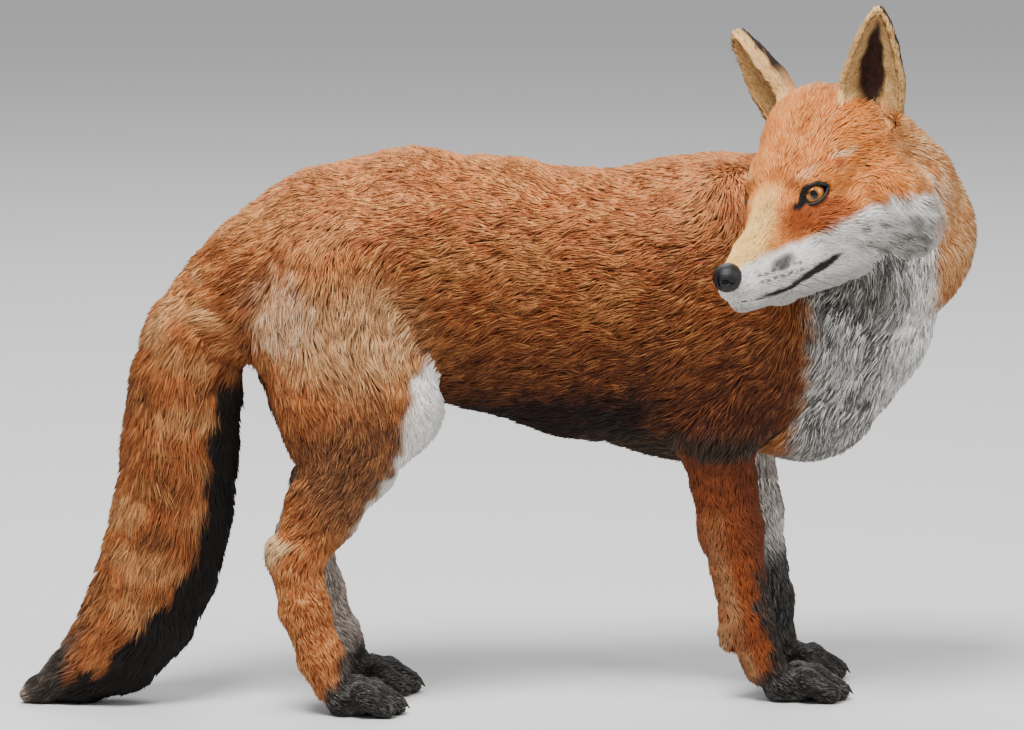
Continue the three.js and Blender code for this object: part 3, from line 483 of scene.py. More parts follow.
def markings_and_shade(points, normals, owner):
    """Hair colour, its darker and lighter hairs, and how strongly single tufts differ, with painted shade
    over the lower body, legs and brush.

    Each shade is laid over the ones before it, where its mask is one. The numbers in a mask are
    places in millimetres, between which it fades."""
    part = PARTS[owner]
    fine = np.isin(part, ["face", "crown", "ear"])
    wander = np.where(fine, 0.7, 2.5)[:, None]
    points = points + wander * np.stack([waves(points, 16, s) for s in (1, 2, 3)], axis=1)
    x, y, z = points.T
    side = np.where(y < 0, -1, 1)
    inner = rise(-normals[:, 1] * side, 0.0, 0.5)
    back = rise(-normals[:, 0], 0.1, 0.7)
    blot, fleck = waves(points, 60, 5), waves(points, 15, 6)
    # How far in front of, or on the tail under, the middle of its own limb a point is.
    ahead = ((points - MUSCLE_AT[owner]) * np.cross(MUSCLE_WAY[owner], SIDE)).sum(axis=1)

    colour = np.tile(FLANK, (len(points), 1))
    dark = np.tile(RUST_DARK, (len(points), 1))
    light = np.tile(GOLD, (len(points), 1))
    pepper = np.full(len(points), 0.9)

    def lay(shade, mask, hairs=None, light_hairs=None, dark_hairs=None):
        nonlocal colour, dark, light, pepper
        mask = np.clip(mask, 0, 1)
        colour = colour + mask[:, None] * (shade - colour)
        light_hairs = 1.5 * shade + 0.01 if light_hairs is None else light_hairs
        dark_hairs = 0.4 * shade if dark_hairs is None else dark_hairs
        light = light + mask[:, None] * (light_hairs - light)
        dark = dark + mask[:, None] * (dark_hairs - dark)
        if hairs is not None:
            pepper = pepper + mask * (hairs - pepper)

    def spot(at_x, at_z, reach_x, reach_z):
        return oval(x, z, (at_x, at_z), (reach_x, reach_z), 0.4, 1.0)

    def is_part(*names):
        return np.isin(part, names).astype(float)

    trunk = is_part("rump", "flank", "ribs", "neck", "shoulder", "haunch")
    legs = is_part("hindleg", "foreleg")
    usual = dict(light_hairs=GOLD, dark_hairs=RUST_DARK)
    # Back and flanks: red above, clouded with gold and rust, and darker below, where the umber low on the
    # trunk and round the elbow is painted shade under the body.
    lay(RED_BACK, trunk * rise(z, 292, 362), **usual)
    lay(GOLD, trunk * 0.45 * rise(blot + 0.4 * fleck, 0.0, 0.9) * rise(z, 225, 260)
        * (1 - rise(z, 325, 375)), **usual)
    lay(RUST_DARK, trunk * 0.45 * rise(-blot - 0.4 * fleck, 0.1, 0.9) * (1 - rise(z, 325, 372)), **usual)
    # Painted shade: umber low on the trunk, round the elbow and behind it, under the body.
    low = np.maximum(1 - rise(z, 212, 290), spot(165, 215, 60, 80))
    lay(UMBER, is_part("flank", "ribs", "shoulder", "neck") * 0.62 * low, light_hairs=GOLD,
        dark_hairs=BLACK)
    lay(UMBER, is_part("shoulder", "ribs") * 0.35 * spot(160, 195, 40, 45))
    # Haunches: buff above, brown at the back of the thigh, a white edge in front, red hocks.
    lay(BUFF, 0.8 * spot(-110, 266, 66, 56) * trunk, light_hairs=CREAM, dark_hairs=RUST_DARK)
    lay(CREAM, 0.35 * spot(-162, 284, 30, 38) * (1 - is_part("tail")), light_hairs=WHITE, dark_hairs=BROWN)
    thighs = is_part("haunch", "hindleg")
    lay(BROWN, thighs * spot(-108, 172, 62, 62) * 0.95, light_hairs=BUFF, dark_hairs=BLACK)
    lay(HOCK, is_part("hindleg") * (1 - rise(z, 105, 140)), **usual)
    lay(GREY, legs * inner * 0.9, light_hairs=WHITE, dark_hairs=DARK_GREY)
    thigh_front = np.interp(z, [128, 185, 215, 250], [-112, -72, -60, -42])
    snow_width = np.interp(z, [130, 190, 235], [4, 12, 24])
    snowy = rise(x - (thigh_front - snow_width), -5, 7) * rise(z, 96, 125)
    lay(WHITE, thighs * snowy * (1 - rise(z, 240, 268)), light_hairs=WHITE, dark_hairs=GREY, hairs=0.3)
    # Belly: a black lower edge, grey behind the elbows.
    belly = is_part("rump", "flank", "ribs", "shoulder")
    lay(BLACK, belly * (1 - rise(z, 212, 236)) * rise(x, -40, -22) * (1 - rise(x, 88, 112)),
        light_hairs=RUST_DARK)
    lay(DARK_GREY, belly * (1 - rise(z, 186, 202)) * rise(x, 30, 70), light_hairs=GREY,
        dark_hairs=BLACK, hairs=0.9)

    # Forelegs: rust outside, grey inside, and black in front and below, like all four paws.
    lay(LEG, is_part("foreleg") * (1 - inner) * (1 - rise(z, 205, 235)), hairs=0.5)
    lay(UMBER, is_part("foreleg") * (1 - inner) * rise(z, 95, 175) * 0.55)
    lay(UMBER, is_part("foreleg") * (1 - inner) * 0.5 * rise(ahead, 0, 12))
    lay(CREAM, is_part("foreleg") * back * (1 - rise(z, 110, 150)) * 0.6 * (1 - rise(-ahead, 0, 30)))
    sooty = dict(light_hairs=GREY, dark_hairs=BLACK, hairs=0.35)
    lay(BLACK, is_part("foreleg") * rise(ahead, 4, 9) * (1 - rise(z, 80, 108)), **sooty)
    lay(BLACK, is_part("foreleg") * rise(y, -10, 10) * (1 - rise(z, 80, 108)), **sooty)
    lay(BLACK, legs * (1 - rise(z - 1.3 * ahead, 18, 34)), **sooty)
    lay(BLACK, is_part("paw"), **sooty)
    lay(CREAM, is_part("hindleg") * oval(x, z, (-168, 120), (1, 1), 5, 14) * 0.7)

    # Throat and chest: long grey hairs with white tips, darkest under the jaw, partly from darker hairs and
    # partly as painted shade under the head, and a tawny nape.
    throat = rise(x, 196, 212) * (1 - rise(x - 304 - 0.17 * y, -7, 7))
    throat *= 1 - rise(z - 300 - 70 * rise(-y, 20, 95), -14, 10)
    chest = rise(x - 28 * rise(y, 0, 50), 214, 244) * (1 - rise(z - 18 * rise(-y, -20, 20), 248, 274))
    bib = np.maximum(throat, chest) * (1 - legs) * (1 - is_part("tail", "paw"))
    lay(NAPE, is_part("neck") * rise(z, 285, 330) * 0.9, light_hairs=CREAM, dark_hairs=RUST)
    lay(GREY * 0.8, bib, light_hairs=WHITE, dark_hairs=DARK_GREY, hairs=1.2)
    lay(DARK_GREY, bib * rise(fleck + blot, -2.2, -0.2) * (1 - rise(x, 255, 292)), light_hairs=WHITE,
        dark_hairs=BLACK)
    lay(WHITE, bib * rise(x, 256, 296) * 0.8, dark_hairs=DARK_GREY)
    # Under the jaw: darker grey hairs, and painted shade under the head.
    lay(DARK_GREY, bib * 0.8 * spot(238, 298, 44, 34), light_hairs=GREY, dark_hairs=BLACK, hairs=0.9)

    # Brush: clouded rust and gold, black beneath and at its end, with a few white hairs at the tip.
    tail = is_part("tail")
    band = waves(points * [0.5, 0.5, 1.0], 30, 8)
    lay(TAIL, tail, light_hairs=GOLD, dark_hairs=RUST_DARK, hairs=0.7)
    lay(GOLD, tail * rise(0.6 * blot + band, 0.1, 1.2) * 0.7, light_hairs=CREAM, dark_hairs=BROWN)
    lay(UMBER, tail * rise(-0.6 * blot - band, 0.1, 1.2) * 0.8, light_hairs=GOLD)
    lay(BLACK, tail * rise(ahead + 4 - 18 * rise(z, 30, 125), -3, 3) * (1 - rise(z, 225, 250)), hairs=0.25)
    lay(BLACK, tail * (1 - rise(x - 0.5 * (z - 30), -306, -292)) * (1 - rise(z, 40, 62)),
        light_hairs=GREY, hairs=0.3)
    lay(WHITE, tail * (1 - rise(x, -338, -324)) * 0.4, hairs=0.3)

    # Head: hx is forward from between the eyes, hy out to either side and hz up.
    hx, hy, hz = head_places(points).T
    hy = np.abs(hy)
    head = is_part("face", "crown")
    lay(FOREHEAD, head, light_hairs=GOLD, dark_hairs=RUST, hairs=0.6)
    lay(RUST, head * oval(hx, hz, (12, -12), (32, 15), 0.5, 1.1) * rise(hy, 12, 20) * 0.95)
    lay(NAPE, is_part("crown") * rise(-hx, 40, 75) * 0.9, light_hairs=CREAM, dark_hairs=RUST)
    face = is_part("face")
    lay(MUZZLE_TOP, face * rise(hx, 2, 40) * (1 - rise(hy - 5 * rise(hx, 20, 60), 4, 15)),
        light_hairs=CREAM, hairs=0.2)
    jowl = np.interp(hx, [-70, -33, -10, 20, 60, 84], [-20, -15, -20, -27, -29, -33])
    pale = head * (1 - rise(hz - jowl, -4, 3))
    pale *= np.maximum(rise(hx, -72, -62), np.maximum(throat, chest))
    lay(WHITE, pale, light_hairs=WHITE, dark_hairs=GREY, hairs=0.45)
    lay(GREY, is_part("crown") * pale * (1 - rise(hz, -44, -26)) * rise(-hx, 5, 40) * 0.9,
        dark_hairs=DARK_GREY, hairs=1.1)
    lay(DARK_GREY, is_part("crown") * pale * 0.6 * rise(fleck, 0.1, 0.8) * rise(-hx, 0, 30))
    lay(GREY, face * (1 - rise(hz, -62, -55)) * 0.7, hairs=0.3)
    lay(BLACK, face * oval(hx, hz + 0.2 * (hx - 46), (46, -37), (15, 5.5), 0.3, 1.1) * 0.85, hairs=0.6)
    for row in range(2):
        for place in WHISKERS:
            root = (place, WHISKER_ROW - WHISKER_ROW_GAP * row)
            lay(DARK_GREY, face * 0.8 * oval(hx, hz, root, (2.2, 1.3), 0.5, 1.2))
    lay(RUST, head * oval(hx, hz, (-14, 16), (6, 4), 0.4, 1.1) * rise(hy, 25, 30) * 0.8)
    lay(CREAM, head * oval(hx, hz, (-20, 22), (12, 3), 0.4, 1.1) * rise(hy, 25, 30) * 0.6)
    mouth = np.interp(hx, MOUTH_X, MOUTH_Z)
    mouth_wide = 1.8 * rise(hx, -2, 16) * (1 - rise(hx, 28, 56))
    lay(BLACK, head * (1 - rise(np.abs(hz - mouth - 2) - mouth_wide, 0.8, 4.0))
        * rise(hx, -6, 2) * (1 - rise(hx, 56, 76)), hairs=0.3)
    for eye in eyes:
        along, over, out, inside = eye_places(points, eye)
        near = (np.abs(along) < 34) & (out > 0)
        lay(BLACK, near * (1 - rise(-inside, 0.6, 2.0)), hairs=0.2)
        lay(BLACK, near * oval(along, over, (-14, -2.2), (5.5, 3.2), 0.5, 1.2), hairs=0.2)
        lay(RUST_DARK, near * oval(along, over, (-8, 13), (5, 6), 0.4, 1.2) * 0.5, hairs=0.2)
        lay(CREAM, near * oval(along, over, (4, 15), (13, 3.5), 0.4, 1.2) * 0.25)
    # Ears: black backs and edges, buff fronts, and a dark hollow inside.
    for ear in ears:
        height, along, through, away = ear_places(points, ear)
        here = (part == "ear") & (np.abs(away) < 12)
        within = here * rise(through, -1.0, 1.2)
        outer = along * ear["side"] * -1
        lay(EAR_BUFF, here, light_hairs=CREAM, dark_hairs=RUST, hairs=0.3)
        lay(RED_BACK, here * (1 - rise(height, 12, 34)) * (1 - rise(through, -2.5, -0.8)))
        rim = -0.8 + 2.4 * (1 - rise(outer, -0.95, -0.55)) * (ear["side"] > 0)
        lay(BLACK, here * (1 - rise(through, rim - 1.7, rim)) * rise(height, 18, 40),
            light_hairs=RUST_DARK, hairs=0.3)
        pit = oval(outer, height, (0.12, 38.0), (0.66, 44.0), 0.6, 1.0)
        lay(EAR_DARK, within * pit, light_hairs=RUST_DARK, dark_hairs=BLACK, hairs=0.4)
    # Painted shade: the colours are darkened low on the trunk, on the outsides of the forelegs, on the
    # thighs outside their white edge and on the brush below its top, the red least and the blue most.
    painted_shade = np.ones(len(points))
    shaded_trunk = is_part("flank", "ribs", "shoulder", "rump") + is_part("neck") * (1 - rise(x, 232, 262))
    flank_shade = np.interp(z, [205, 245, 275, 330, 360], [0.17, 0.28, 0.44, 0.62, 0.76])
    painted_shade -= shaded_trunk * (1 - bib) * (1 - flank_shade)
    thigh_shade = np.interp(z, [110, 150, 200, 235, 262, 330], [0.8, 0.52, 0.4, 0.62, 0.9, 0.72])
    painted_shade -= thighs * (1 - snowy) * (1 - thigh_shade)
    painted_shade -= is_part("foreleg") * (1 - inner) * 0.55
    painted_shade -= tail * (1 - np.interp(z, [40, 140, 250, 285], [0.5, 0.5, 0.5, 0.9]))
    painted_shade = np.clip(painted_shade, 0.1, 1)[:, None] ** [0.7, 1.0, 1.3]
    return colour * painted_shade, dark * painted_shade, light * painted_shade, pepper


def flat_mesh(name, points, faces):
    """A piece with its place in its mesh, from points in the model's own millimetres."""
    mesh = bpy.data.meshes.new(name)
    mesh.from_pydata(((points + SHIFT) / 1000).tolist(), [], [list(map(int, f)) for f in faces])
    mesh.validate()
    piece = bpy.data.objects.new(name, mesh)
    bpy.context.collection.objects.link(piece)
    mesh.polygons.foreach_set("use_smooth", np.ones(len(mesh.polygons), bool))
    return piece


def new_material(name, roughness):
    material = bpy.data.materials.new(name)
    material.use_nodes = True
    nodes, links = material.node_tree.nodes, material.node_tree.links
    shader = nodes["Principled BSDF"]
    shader.inputs["Roughness"].default_value = roughness
    return material, nodes, links, shader


def add_node(nodes, kind, **settings):
    node = nodes.new(kind)
    for name, value in settings.items():
        if name in node.inputs:
            node.inputs[name].default_value = value
        else:
            setattr(node, name, value)
    return node


def hair_material(name, roughness, grain, depth):
    """Reads the marking and painted shade that each corner carries, and breaks it up with a fine grain."""
    material, nodes, links, shader = new_material(name, roughness)
    marking_and_shade = add_node(nodes, "ShaderNodeAttribute", attribute_name="marking_and_shade")
    where = add_node(nodes, "ShaderNodeTexCoord")
    noise = add_node(nodes, "ShaderNodeTexNoise", Scale=grain, Detail=3.0)
    ramp = add_node(nodes, "ShaderNodeMapRange")
    ramp.inputs["From Min"].default_value = 0.3
    ramp.inputs["From Max"].default_value = 0.7
    ramp.inputs["To Min"].default_value = 0.78
    ramp.inputs["To Max"].default_value = 1.22
    scale = nodes.new("ShaderNodeVectorMath")
    scale.operation = "SCALE"
    bump = add_node(nodes, "ShaderNodeBump", Strength=depth, Distance=0.0006)
    links.new(where.outputs["Object"], noise.inputs["Vector"])
    links.new(noise.outputs["Fac"], ramp.inputs["Value"])
    links.new(marking_and_shade.outputs["Color"], scale.inputs[0])
    links.new(ramp.outputs["Result"], scale.inputs["Scale"])
    links.new(scale.outputs["Vector"], shader.inputs["Base Color"])
    links.new(noise.outputs["Fac"], bump.inputs["Height"])
    links.new(bump.outputs["Normal"], shader.inputs["Normal"])
    shader.inputs["Specular IOR Level"].default_value = 0.22
    return material


def unit(vectors):
    return vectors / np.maximum(np.linalg.norm(vectors, axis=1), 1e-9)[:, None]


def store_marking_and_shade(mesh, colours):
    layer = mesh.color_attributes.new("marking_and_shade", "FLOAT_COLOR", "POINT")
    layer.data.foreach_set("color", np.hstack([np.clip(colours, 0, 1), np.ones((len(colours), 1))]).ravel())


skin = flat_mesh("hide", points, quads)
bm = bmesh.new()
bm.from_mesh(skin.data)
bmesh.ops.triangulate(bm, faces=bm.faces[:])
bmesh.ops.recalc_face_normals(bm, faces=bm.faces[:])
bm.to_mesh(skin.data)
bm.free()
skin_points = np.array([v.co[:] for v in skin.data.vertices]) * 1000 - SHIFT
skin_faces = np.array([p.vertices[:] for p in skin.data.polygons])
normals = unit(slopes(coat_distance, skin_points)[1])
far, traits, owner = coat_distance(skin_points, traits=True)
colour, dark, light, pepper = markings_and_shade(skin_points, normals, owner)
# The hide is the coat's colour darkened towards its dark hairs: partly the darker hair roots and partly
# painted shade for lying deep under the coat.
store_marking_and_shade(skin.data, 0.45 * colour + 0.3 * dark)
skin.data.materials.append(hair_material("hide_hair", 0.75, 900, 0.5))
FLESH = [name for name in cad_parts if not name.startswith(("eye", "nose", "claw"))]
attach(skin, "root")
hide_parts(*FLESH)

# ---- The coat ----
# Guard hairs and underfur, drawn together in thin tufts that grow from the hide and lie along the
# body: from the nose back over the head, down the neck and legs, and towards the tip of the brush.
# Tufts are smallest on the face, ears and feet, and longest on the neck and the brush.
TUFTS = 352000
ROOT_SINK = 0.4
COAT = [
    # piece, parts it covers, slot, how thickly its tufts stand, width of a tuft in millimetres
    ("coat_face", ("face",), "buff_coat", 2.0, 0.38),
    ("coat_crown", ("crown",), "red_coat", 1.0, 0.55),
    ("coat_ears", ("ear",), "ear_coat", 1.5, 0.4),
    ("coat_neck", ("neck",), "red_coat", 0.62, 0.8),
    ("coat_bib", ("bib",), "grey_coat", 0.72, 0.75),
    ("coat_shoulders", ("shoulder",), "red_coat", 0.66, 0.7),
    ("coat_ribs", ("ribs",), "red_coat", 0.62, 0.72),
    ("coat_flanks", ("flank",), "red_coat", 0.62, 0.72),
    ("coat_rump", ("rump",), "red_coat", 0.62, 0.72),
    ("coat_haunches", ("haunch",), "buff_coat", 0.62, 0.72),
    ("coat_hindlegs", ("hindleg",), "red_coat", 0.85, 0.58),
    ("coat_forelegs", ("foreleg",), "red_coat", 0.85, 0.58),
    ("coat_feet", ("paw",), "black_coat", 0.9, 0.45),
    ("coat_brush", ("tail",), "red_coat", 0.6, 0.85),
]
COAT_SEED = 11
rng = np.random.default_rng(COAT_SEED)
a, b, c = (skin_points[skin_faces[:, n]] for n in range(3))
area = np.linalg.norm(np.cross(b - a, c - a), axis=1) / 2
face_part = PARTS[owner[skin_faces[:, 0]]]
rate = np.zeros(len(area))
for name, parts, slot, thick, width in COAT:
    rate[np.isin(face_part, parts)] = thick
weight = rate * area
picked = np.searchsorted(np.cumsum(weight), rng.uniform(0, weight.sum(), TUFTS))
picked = np.minimum(picked, len(area) - 1)
u, v = np.sort(rng.uniform(0, 1, (2, TUFTS)), axis=0)
roots = a[picked] + u[:, None] * (b - a)[picked] + (1 - v)[:, None] * (c - a)[picked]


def unwrap(points, owner, parts):
    """A flat place for each root: a strip for each limb, along it and round it."""
    flat = np.zeros((len(points), 2))
    mine = [n for n in list(range(len(muscles))) + [-1, -2] if PARTS[n] in parts]
    for rank, number in enumerate(mine):
        here = np.flatnonzero(owner == number)
        if number < 0:
            ear = ears[1] if number == -1 else ears[0]
            height, along, through, away = ear_places(points[here], ear)
            t = height / ear["length"]
            turn = 0.25 + 0.22 * along + 0.5 * (through > 0)
        else:
            m = muscles[number]
            axis = m["b"] - m["a"]
            q = points[here] - m["a"]
            t = q @ axis / (axis @ axis)
            axis = axis / np.linalg.norm(axis)
            one = np.cross(axis, m["across"] if abs(axis @ m["across"]) < 0.9 else np.array([0.0, 0, 1]))
            one /= np.linalg.norm(one)
            turn = np.arctan2(q @ np.cross(axis, one), q @ one) / (2 * math.pi) + 0.5
        flat[here, 0] = (rank + 0.5 + 0.9 * np.arctan(2 * (t - 0.5)) / math.pi) / len(mine)
        flat[here, 1] = 0.01 + 0.98 * turn
    return flat


# Tufts sway together in broad locks and narrow strands, and each strays a little by itself.
LOCK_SWAY, STRAND_SWAY, STRAY = 0.28, 0.2, 0.12
LEAST_COAT = 0.8
STEEPEST = 0.75
far, traits, root_owner = coat_distance(roots, traits=True)
root_normal = unit(slopes(coat_distance, roots)[1])
depth, hair = traits[:, 0], traits[:, 1]
lie = traits[:, 2:5] - (traits[:, 2:5] * root_normal).sum(axis=1)[:, None] * root_normal
lie = unit(lie + 1e-6)
beside = np.cross(root_normal, lie)
sway = LOCK_SWAY * waves(roots, 34, 21) + STRAND_SWAY * waves(roots, 11, 22) + rng.normal(0, STRAY, TUFTS)
lie = unit(lie + sway[:, None] * beside)
beside = np.cross(root_normal, lie)
fluff = 0.86 + 0.2 * waves(roots, 15, 23) + rng.normal(0, STRAY, TUFTS)
lift = np.maximum(-far, LEAST_COAT) * fluff
hair = hair * rng.uniform(0.75, 1.2, TUFTS)
lift = np.clip(lift, 0.3, STEEPEST * hair)
run = np.sqrt(hair**2 - lift**2)

# The tips are laid between the hide and the true outline of the coat, bending over its hollows.
TIP_UNDER = 0.6
TIP_OVER, TIP_UNEVEN = 0.5, 0.7
MOST_BEND = 12
WIDEST_AT = 0.42
SEEN_AT = 0.62
tips = roots + run[:, None] * lie + lift[:, None] * root_normal
over_coat, tip_normal = slopes(coat_distance, tips)
tip_normal = unit(tip_normal)
highest = TIP_OVER + np.abs(rng.normal(0, TIP_UNEVEN, TUFTS))
bend = (np.clip(over_coat, -TIP_UNDER * depth, highest) - over_coat)[:, None] * tip_normal
tips = tips + np.clip(bend, -MOST_BEND, MOST_BEND)
middles = roots + (WIDEST_AT * run)[:, None] * lie + (0.7 * lift)[:, None] * root_normal + 0.3 * bend

# A tuft takes the marking, and the painted shade, of the place over which most of it is seen.
seen_at = roots + (SEEN_AT * run)[:, None] * lie
root_owner_seen = coat_distance(seen_at, traits=True)[2]
colour, dark, light, pepper = markings_and_shade(seen_at, root_normal, root_owner_seen)
cast = rng.normal(0, 1, TUFTS) * pepper * 0.55 + 0.25 * pepper * waves(roots, 15, 23)
tone = np.where((cast < 0)[:, None], colour + np.clip(-cast, 0, 1)[:, None] * (dark - colour),
                colour + np.clip(cast, 0, 1)[:, None] * (light - colour))

# A tuft has four corners: its root, its left and right, and its tip, with four faces outwards.
TUFT_FACES = np.array([[0, 2, 1], [3, 1, 2], [0, 1, 3], [0, 3, 2]])
CORNER_UV = 0.003 * np.array([[0, 0.5], [0.5, 1], [0.5, 0], [1, 0.5]])
ROUNDED = 0.45
LOWEST_HAIR = 0.25
for name, parts, slot, thick, width in COAT:
    mine = np.flatnonzero(np.isin(PARTS[root_owner], parts))
    R, N, S, tip, tip_n = roots[mine], root_normal[mine], beside[mine], tips[mine], tip_normal[mine]
    w = (width * rng.uniform(0.7, 1.3, len(mine)))[:, None]
    middle = middles[mine]
    corners = np.stack([R - ROOT_SINK * N, middle + 0.5 * w * S, middle - 0.5 * w * S, tip], axis=1)
    corners[..., 2] = np.maximum(corners[..., 2], LOWEST_HAIR)
    left, right, end = (corners[:, n] - corners[:, 0] for n in (1, 2, 3))
    inside_out = (np.cross(left, right) * end).sum(axis=1) < 0
    corners[inside_out] = corners[inside_out][:, [0, 2, 1, 3]]
    faces = (4 * np.arange(len(mine))[:, None, None] + TUFT_FACES[None]).reshape(-1, 3)
    assert len(faces) < 200000
    # Each tuft is darkest at its root, partly its darker underfur and partly painted shade of the gaps
    # between tufts, and lightest at its tip.
    root_shaded_tints = np.stack([0.35 * tone[mine] + 0.15 * dark[mine]] + [tone[mine] * 0.93] * 2
                     + [0.8 * tone[mine] + 0.2 * light[mine]], axis=1).reshape(-1, 3)
    soft = unit(np.stack([N, N + ROUNDED * S, N - ROUNDED * S, tip_n], axis=1).reshape(-1, 3))
    mesh = bpy.data.meshes.new(name)
    mesh.vertices.add(4 * len(mine))
    mesh.vertices.foreach_set("co", ((corners.reshape(-1, 3) + SHIFT) / 1000).ravel())
    mesh.loops.add(faces.size)
    mesh.loops.foreach_set("vertex_index", faces.ravel())
    mesh.polygons.add(len(faces))
    mesh.polygons.foreach_set("loop_start", np.arange(0, faces.size, 3))
    mesh.update(calc_edges=True)
    mesh.polygons.foreach_set("use_smooth", np.ones(len(faces), bool))
    store_marking_and_shade(mesh, root_shaded_tints)
    place = unwrap(R, root_owner[mine], parts)
    layer = mesh.uv_layers.new(name="OFBake")
    uv = (place[:, None, :] + CORNER_UV[None]).reshape(-1, 2)[faces.ravel()]
    layer.data.foreach_set("uv", uv.ravel())
    mesh.normals_split_custom_set_from_vertices(soft.tolist())
    piece = bpy.data.objects.new(name, mesh)
    bpy.context.collection.objects.link(piece)
    mesh.materials.append(hair_material(name + "_hair", 0.6, 1500, 0.25))
    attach(piece, "root")

# ---- Eyes ----
# A moist ball with a clear bulging front, an amber iris and a dark pupil that is taller than wide.
# It sits in a slot in the hide and is held by the lids. The upper lid's shadow over the top of the iris is
# painted shade in the ball's colour.
EYE_RINGS = 40
EYE_TURNS = 64
IRIS = 7.2
PUPIL_REACH = 3.4
PUPIL_TALL = 1.35
BULGE = 0.9
EYE_SHADES = 12.0
for eye in eyes:
    name = "eyeball_left" if eye["side"] > 0 else "eyeball_right"
    rows, ring_faces, radii = [], [], []
    for ring in range(EYE_RINGS + 1):
        angle = math.pi * (ring / EYE_RINGS) ** 1.3
        away = EYE_RADIUS * math.sin(angle)
        dome = EYE_RADIUS + BULGE * math.exp(-((angle / 0.55) ** 4)) - 0.4
        for turn in range(EYE_TURNS if 0 < ring < EYE_RINGS else 1):
            theta = 2 * math.pi * turn / EYE_TURNS
            rows.append(eye["at"] + dome * (math.cos(angle) * eye["gaze"] + math.sin(angle)
                        * (math.cos(theta) * eye["outward"] + math.sin(theta) * eye["over"])))
            tall = PUPIL_TALL if away < PUPIL_REACH else 1.0
            squash = away * math.hypot(math.cos(theta) * tall, math.sin(theta))
            # Painted shade: the upper lid's shadow darkens the top of the iris towards its dark ring.
            lid_shade = IRIS * float(rise(away * math.sin(theta), 2.4, 5.4))
            radii.append(max(squash, lid_shade) if angle < math.pi / 2 else 2 * EYE_RADIUS)
    for turn in range(EYE_TURNS):
        after = (turn + 1) % EYE_TURNS
        ring_faces.append([0, 1 + turn, 1 + after])
        for ring in range(1, EYE_RINGS - 1):
            one, two = 1 + (ring - 1) * EYE_TURNS, 1 + ring * EYE_TURNS
            ring_faces.append([one + turn, two + turn, two + after, one + after])
        last = 1 + (EYE_RINGS - 2) * EYE_TURNS
        ring_faces.append([last + turn, len(rows) - 1, last + after])
    ball = flat_mesh(name, np.array(rows), ring_faces)
    bm = bmesh.new()
    bm.from_mesh(ball.data)
    bmesh.ops.recalc_face_normals(bm, faces=bm.faces[:])
    bm.to_mesh(ball.data)
    bm.free()
    spread = ball.data.attributes.new("from_pupil_with_lid_shadow", "FLOAT", "POINT")
    spread.data.foreach_set("value", np.array(radii) / EYE_SHADES)
    material, nodes, links, shader = new_material(name + "_wet", 0.03)
    reader = add_node(nodes, "ShaderNodeAttribute", attribute_name="from_pupil_with_lid_shadow")
    where = add_node(nodes, "ShaderNodeTexCoord")
    noise = add_node(nodes, "ShaderNodeTexNoise", Scale=1400.0, Detail=4.0)
    shift = add_node(nodes, "ShaderNodeMapRange")
    shift.inputs["To Min"].default_value = -0.035
    shift.inputs["To Max"].default_value = 0.035
    total = nodes.new("ShaderNodeMath")
    ramp = nodes.new("ShaderNodeValToRGB")
    links.new(where.outputs["Object"], noise.inputs["Vector"])
    links.new(noise.outputs["Fac"], shift.inputs["Value"])
    links.new(reader.outputs["Fac"], total.inputs[0])
    links.new(shift.outputs["Result"], total.inputs[1])
    links.new(total.outputs["Value"], ramp.inputs["Fac"])
    links.new(ramp.outputs["Color"], shader.inputs["Base Color"])
    # From the pupil, over its edge, through the iris and its dark ring to the white's brown.
    stops = [(0.0, paint(8, 7, 7)), (0.235, paint(10, 8, 7)), (0.27, paint(96, 54, 18)),
             (0.40, paint(176, 108, 40)), (0.56, paint(140, 78, 26)), (0.65, paint(40, 22, 12)),
             (0.70, paint(20, 14, 12))]
    while len(ramp.color_ramp.elements) < len(stops):
        ramp.color_ramp.elements.new(0.5)
    for element, (at, shade) in zip(ramp.color_ramp.elements, stops):
        element.position = at
        element.color = (*shade, 1)
    ball.data.materials.append(material)
    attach(ball, "root")
    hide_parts("eye_left" if eye["side"] > 0 else "eye_right")


# ---- Eyelids ----
# The bare black rim round each eye, a soft leathery roll of skin at the edge of the slot. It is
# part of the hide on the animal, and its upper half is the thicker.
LID_BAR = 1.1
LID_STEPS = 56
LID_REACH = SLOT_LONG + 0.3


def tube(path, radii, closed=False, sides=10):
    """A round bar along a path, its ends drawn to a point where it isn't a ring."""
    path = np.array(path, float)
    ahead = np.roll(path, -1, axis=0) - np.roll(path, 1, axis=0)
    if not closed:
        ahead[0], ahead[-1] = path[1] - path[0], path[-1] - path[-2]
    ahead = unit(ahead)
    one = np.cross(ahead, [0.31, 0.2, 0.93])
    one = unit(one)
    two = np.cross(ahead, one)
    turns = np.arange(sides) * 2 * math.pi / sides
    rings = path[:, None, :] + np.array(radii)[:, None, None] * (
        np.cos(turns)[None, :, None] * one[:, None, :] + np.sin(turns)[None, :, None] * two[:, None, :])
    faces = []
    count = len(path)
    for n in range(count if closed else count - 1):
        m = (n + 1) % count
        for k in range(sides):
            j = (k + 1) % sides
            faces.append([n * sides + k, n * sides + j, m * sides + j, m * sides + k])
    if not closed:
        faces.append(list(range(sides))[::-1])
        faces.append([(count - 1) * sides + k for k in range(sides)])
    return rings.reshape(-1, 3), faces


def joined(name, bars):
    """One piece from several bars."""
    points, faces, start = [], [], 0
    for bar_points, bar_faces in bars:
        points.append(bar_points)
        faces += [[start + i for i in face] for face in bar_faces]
        start += len(bar_points)
    return flat_mesh(name, np.concatenate(points), faces)


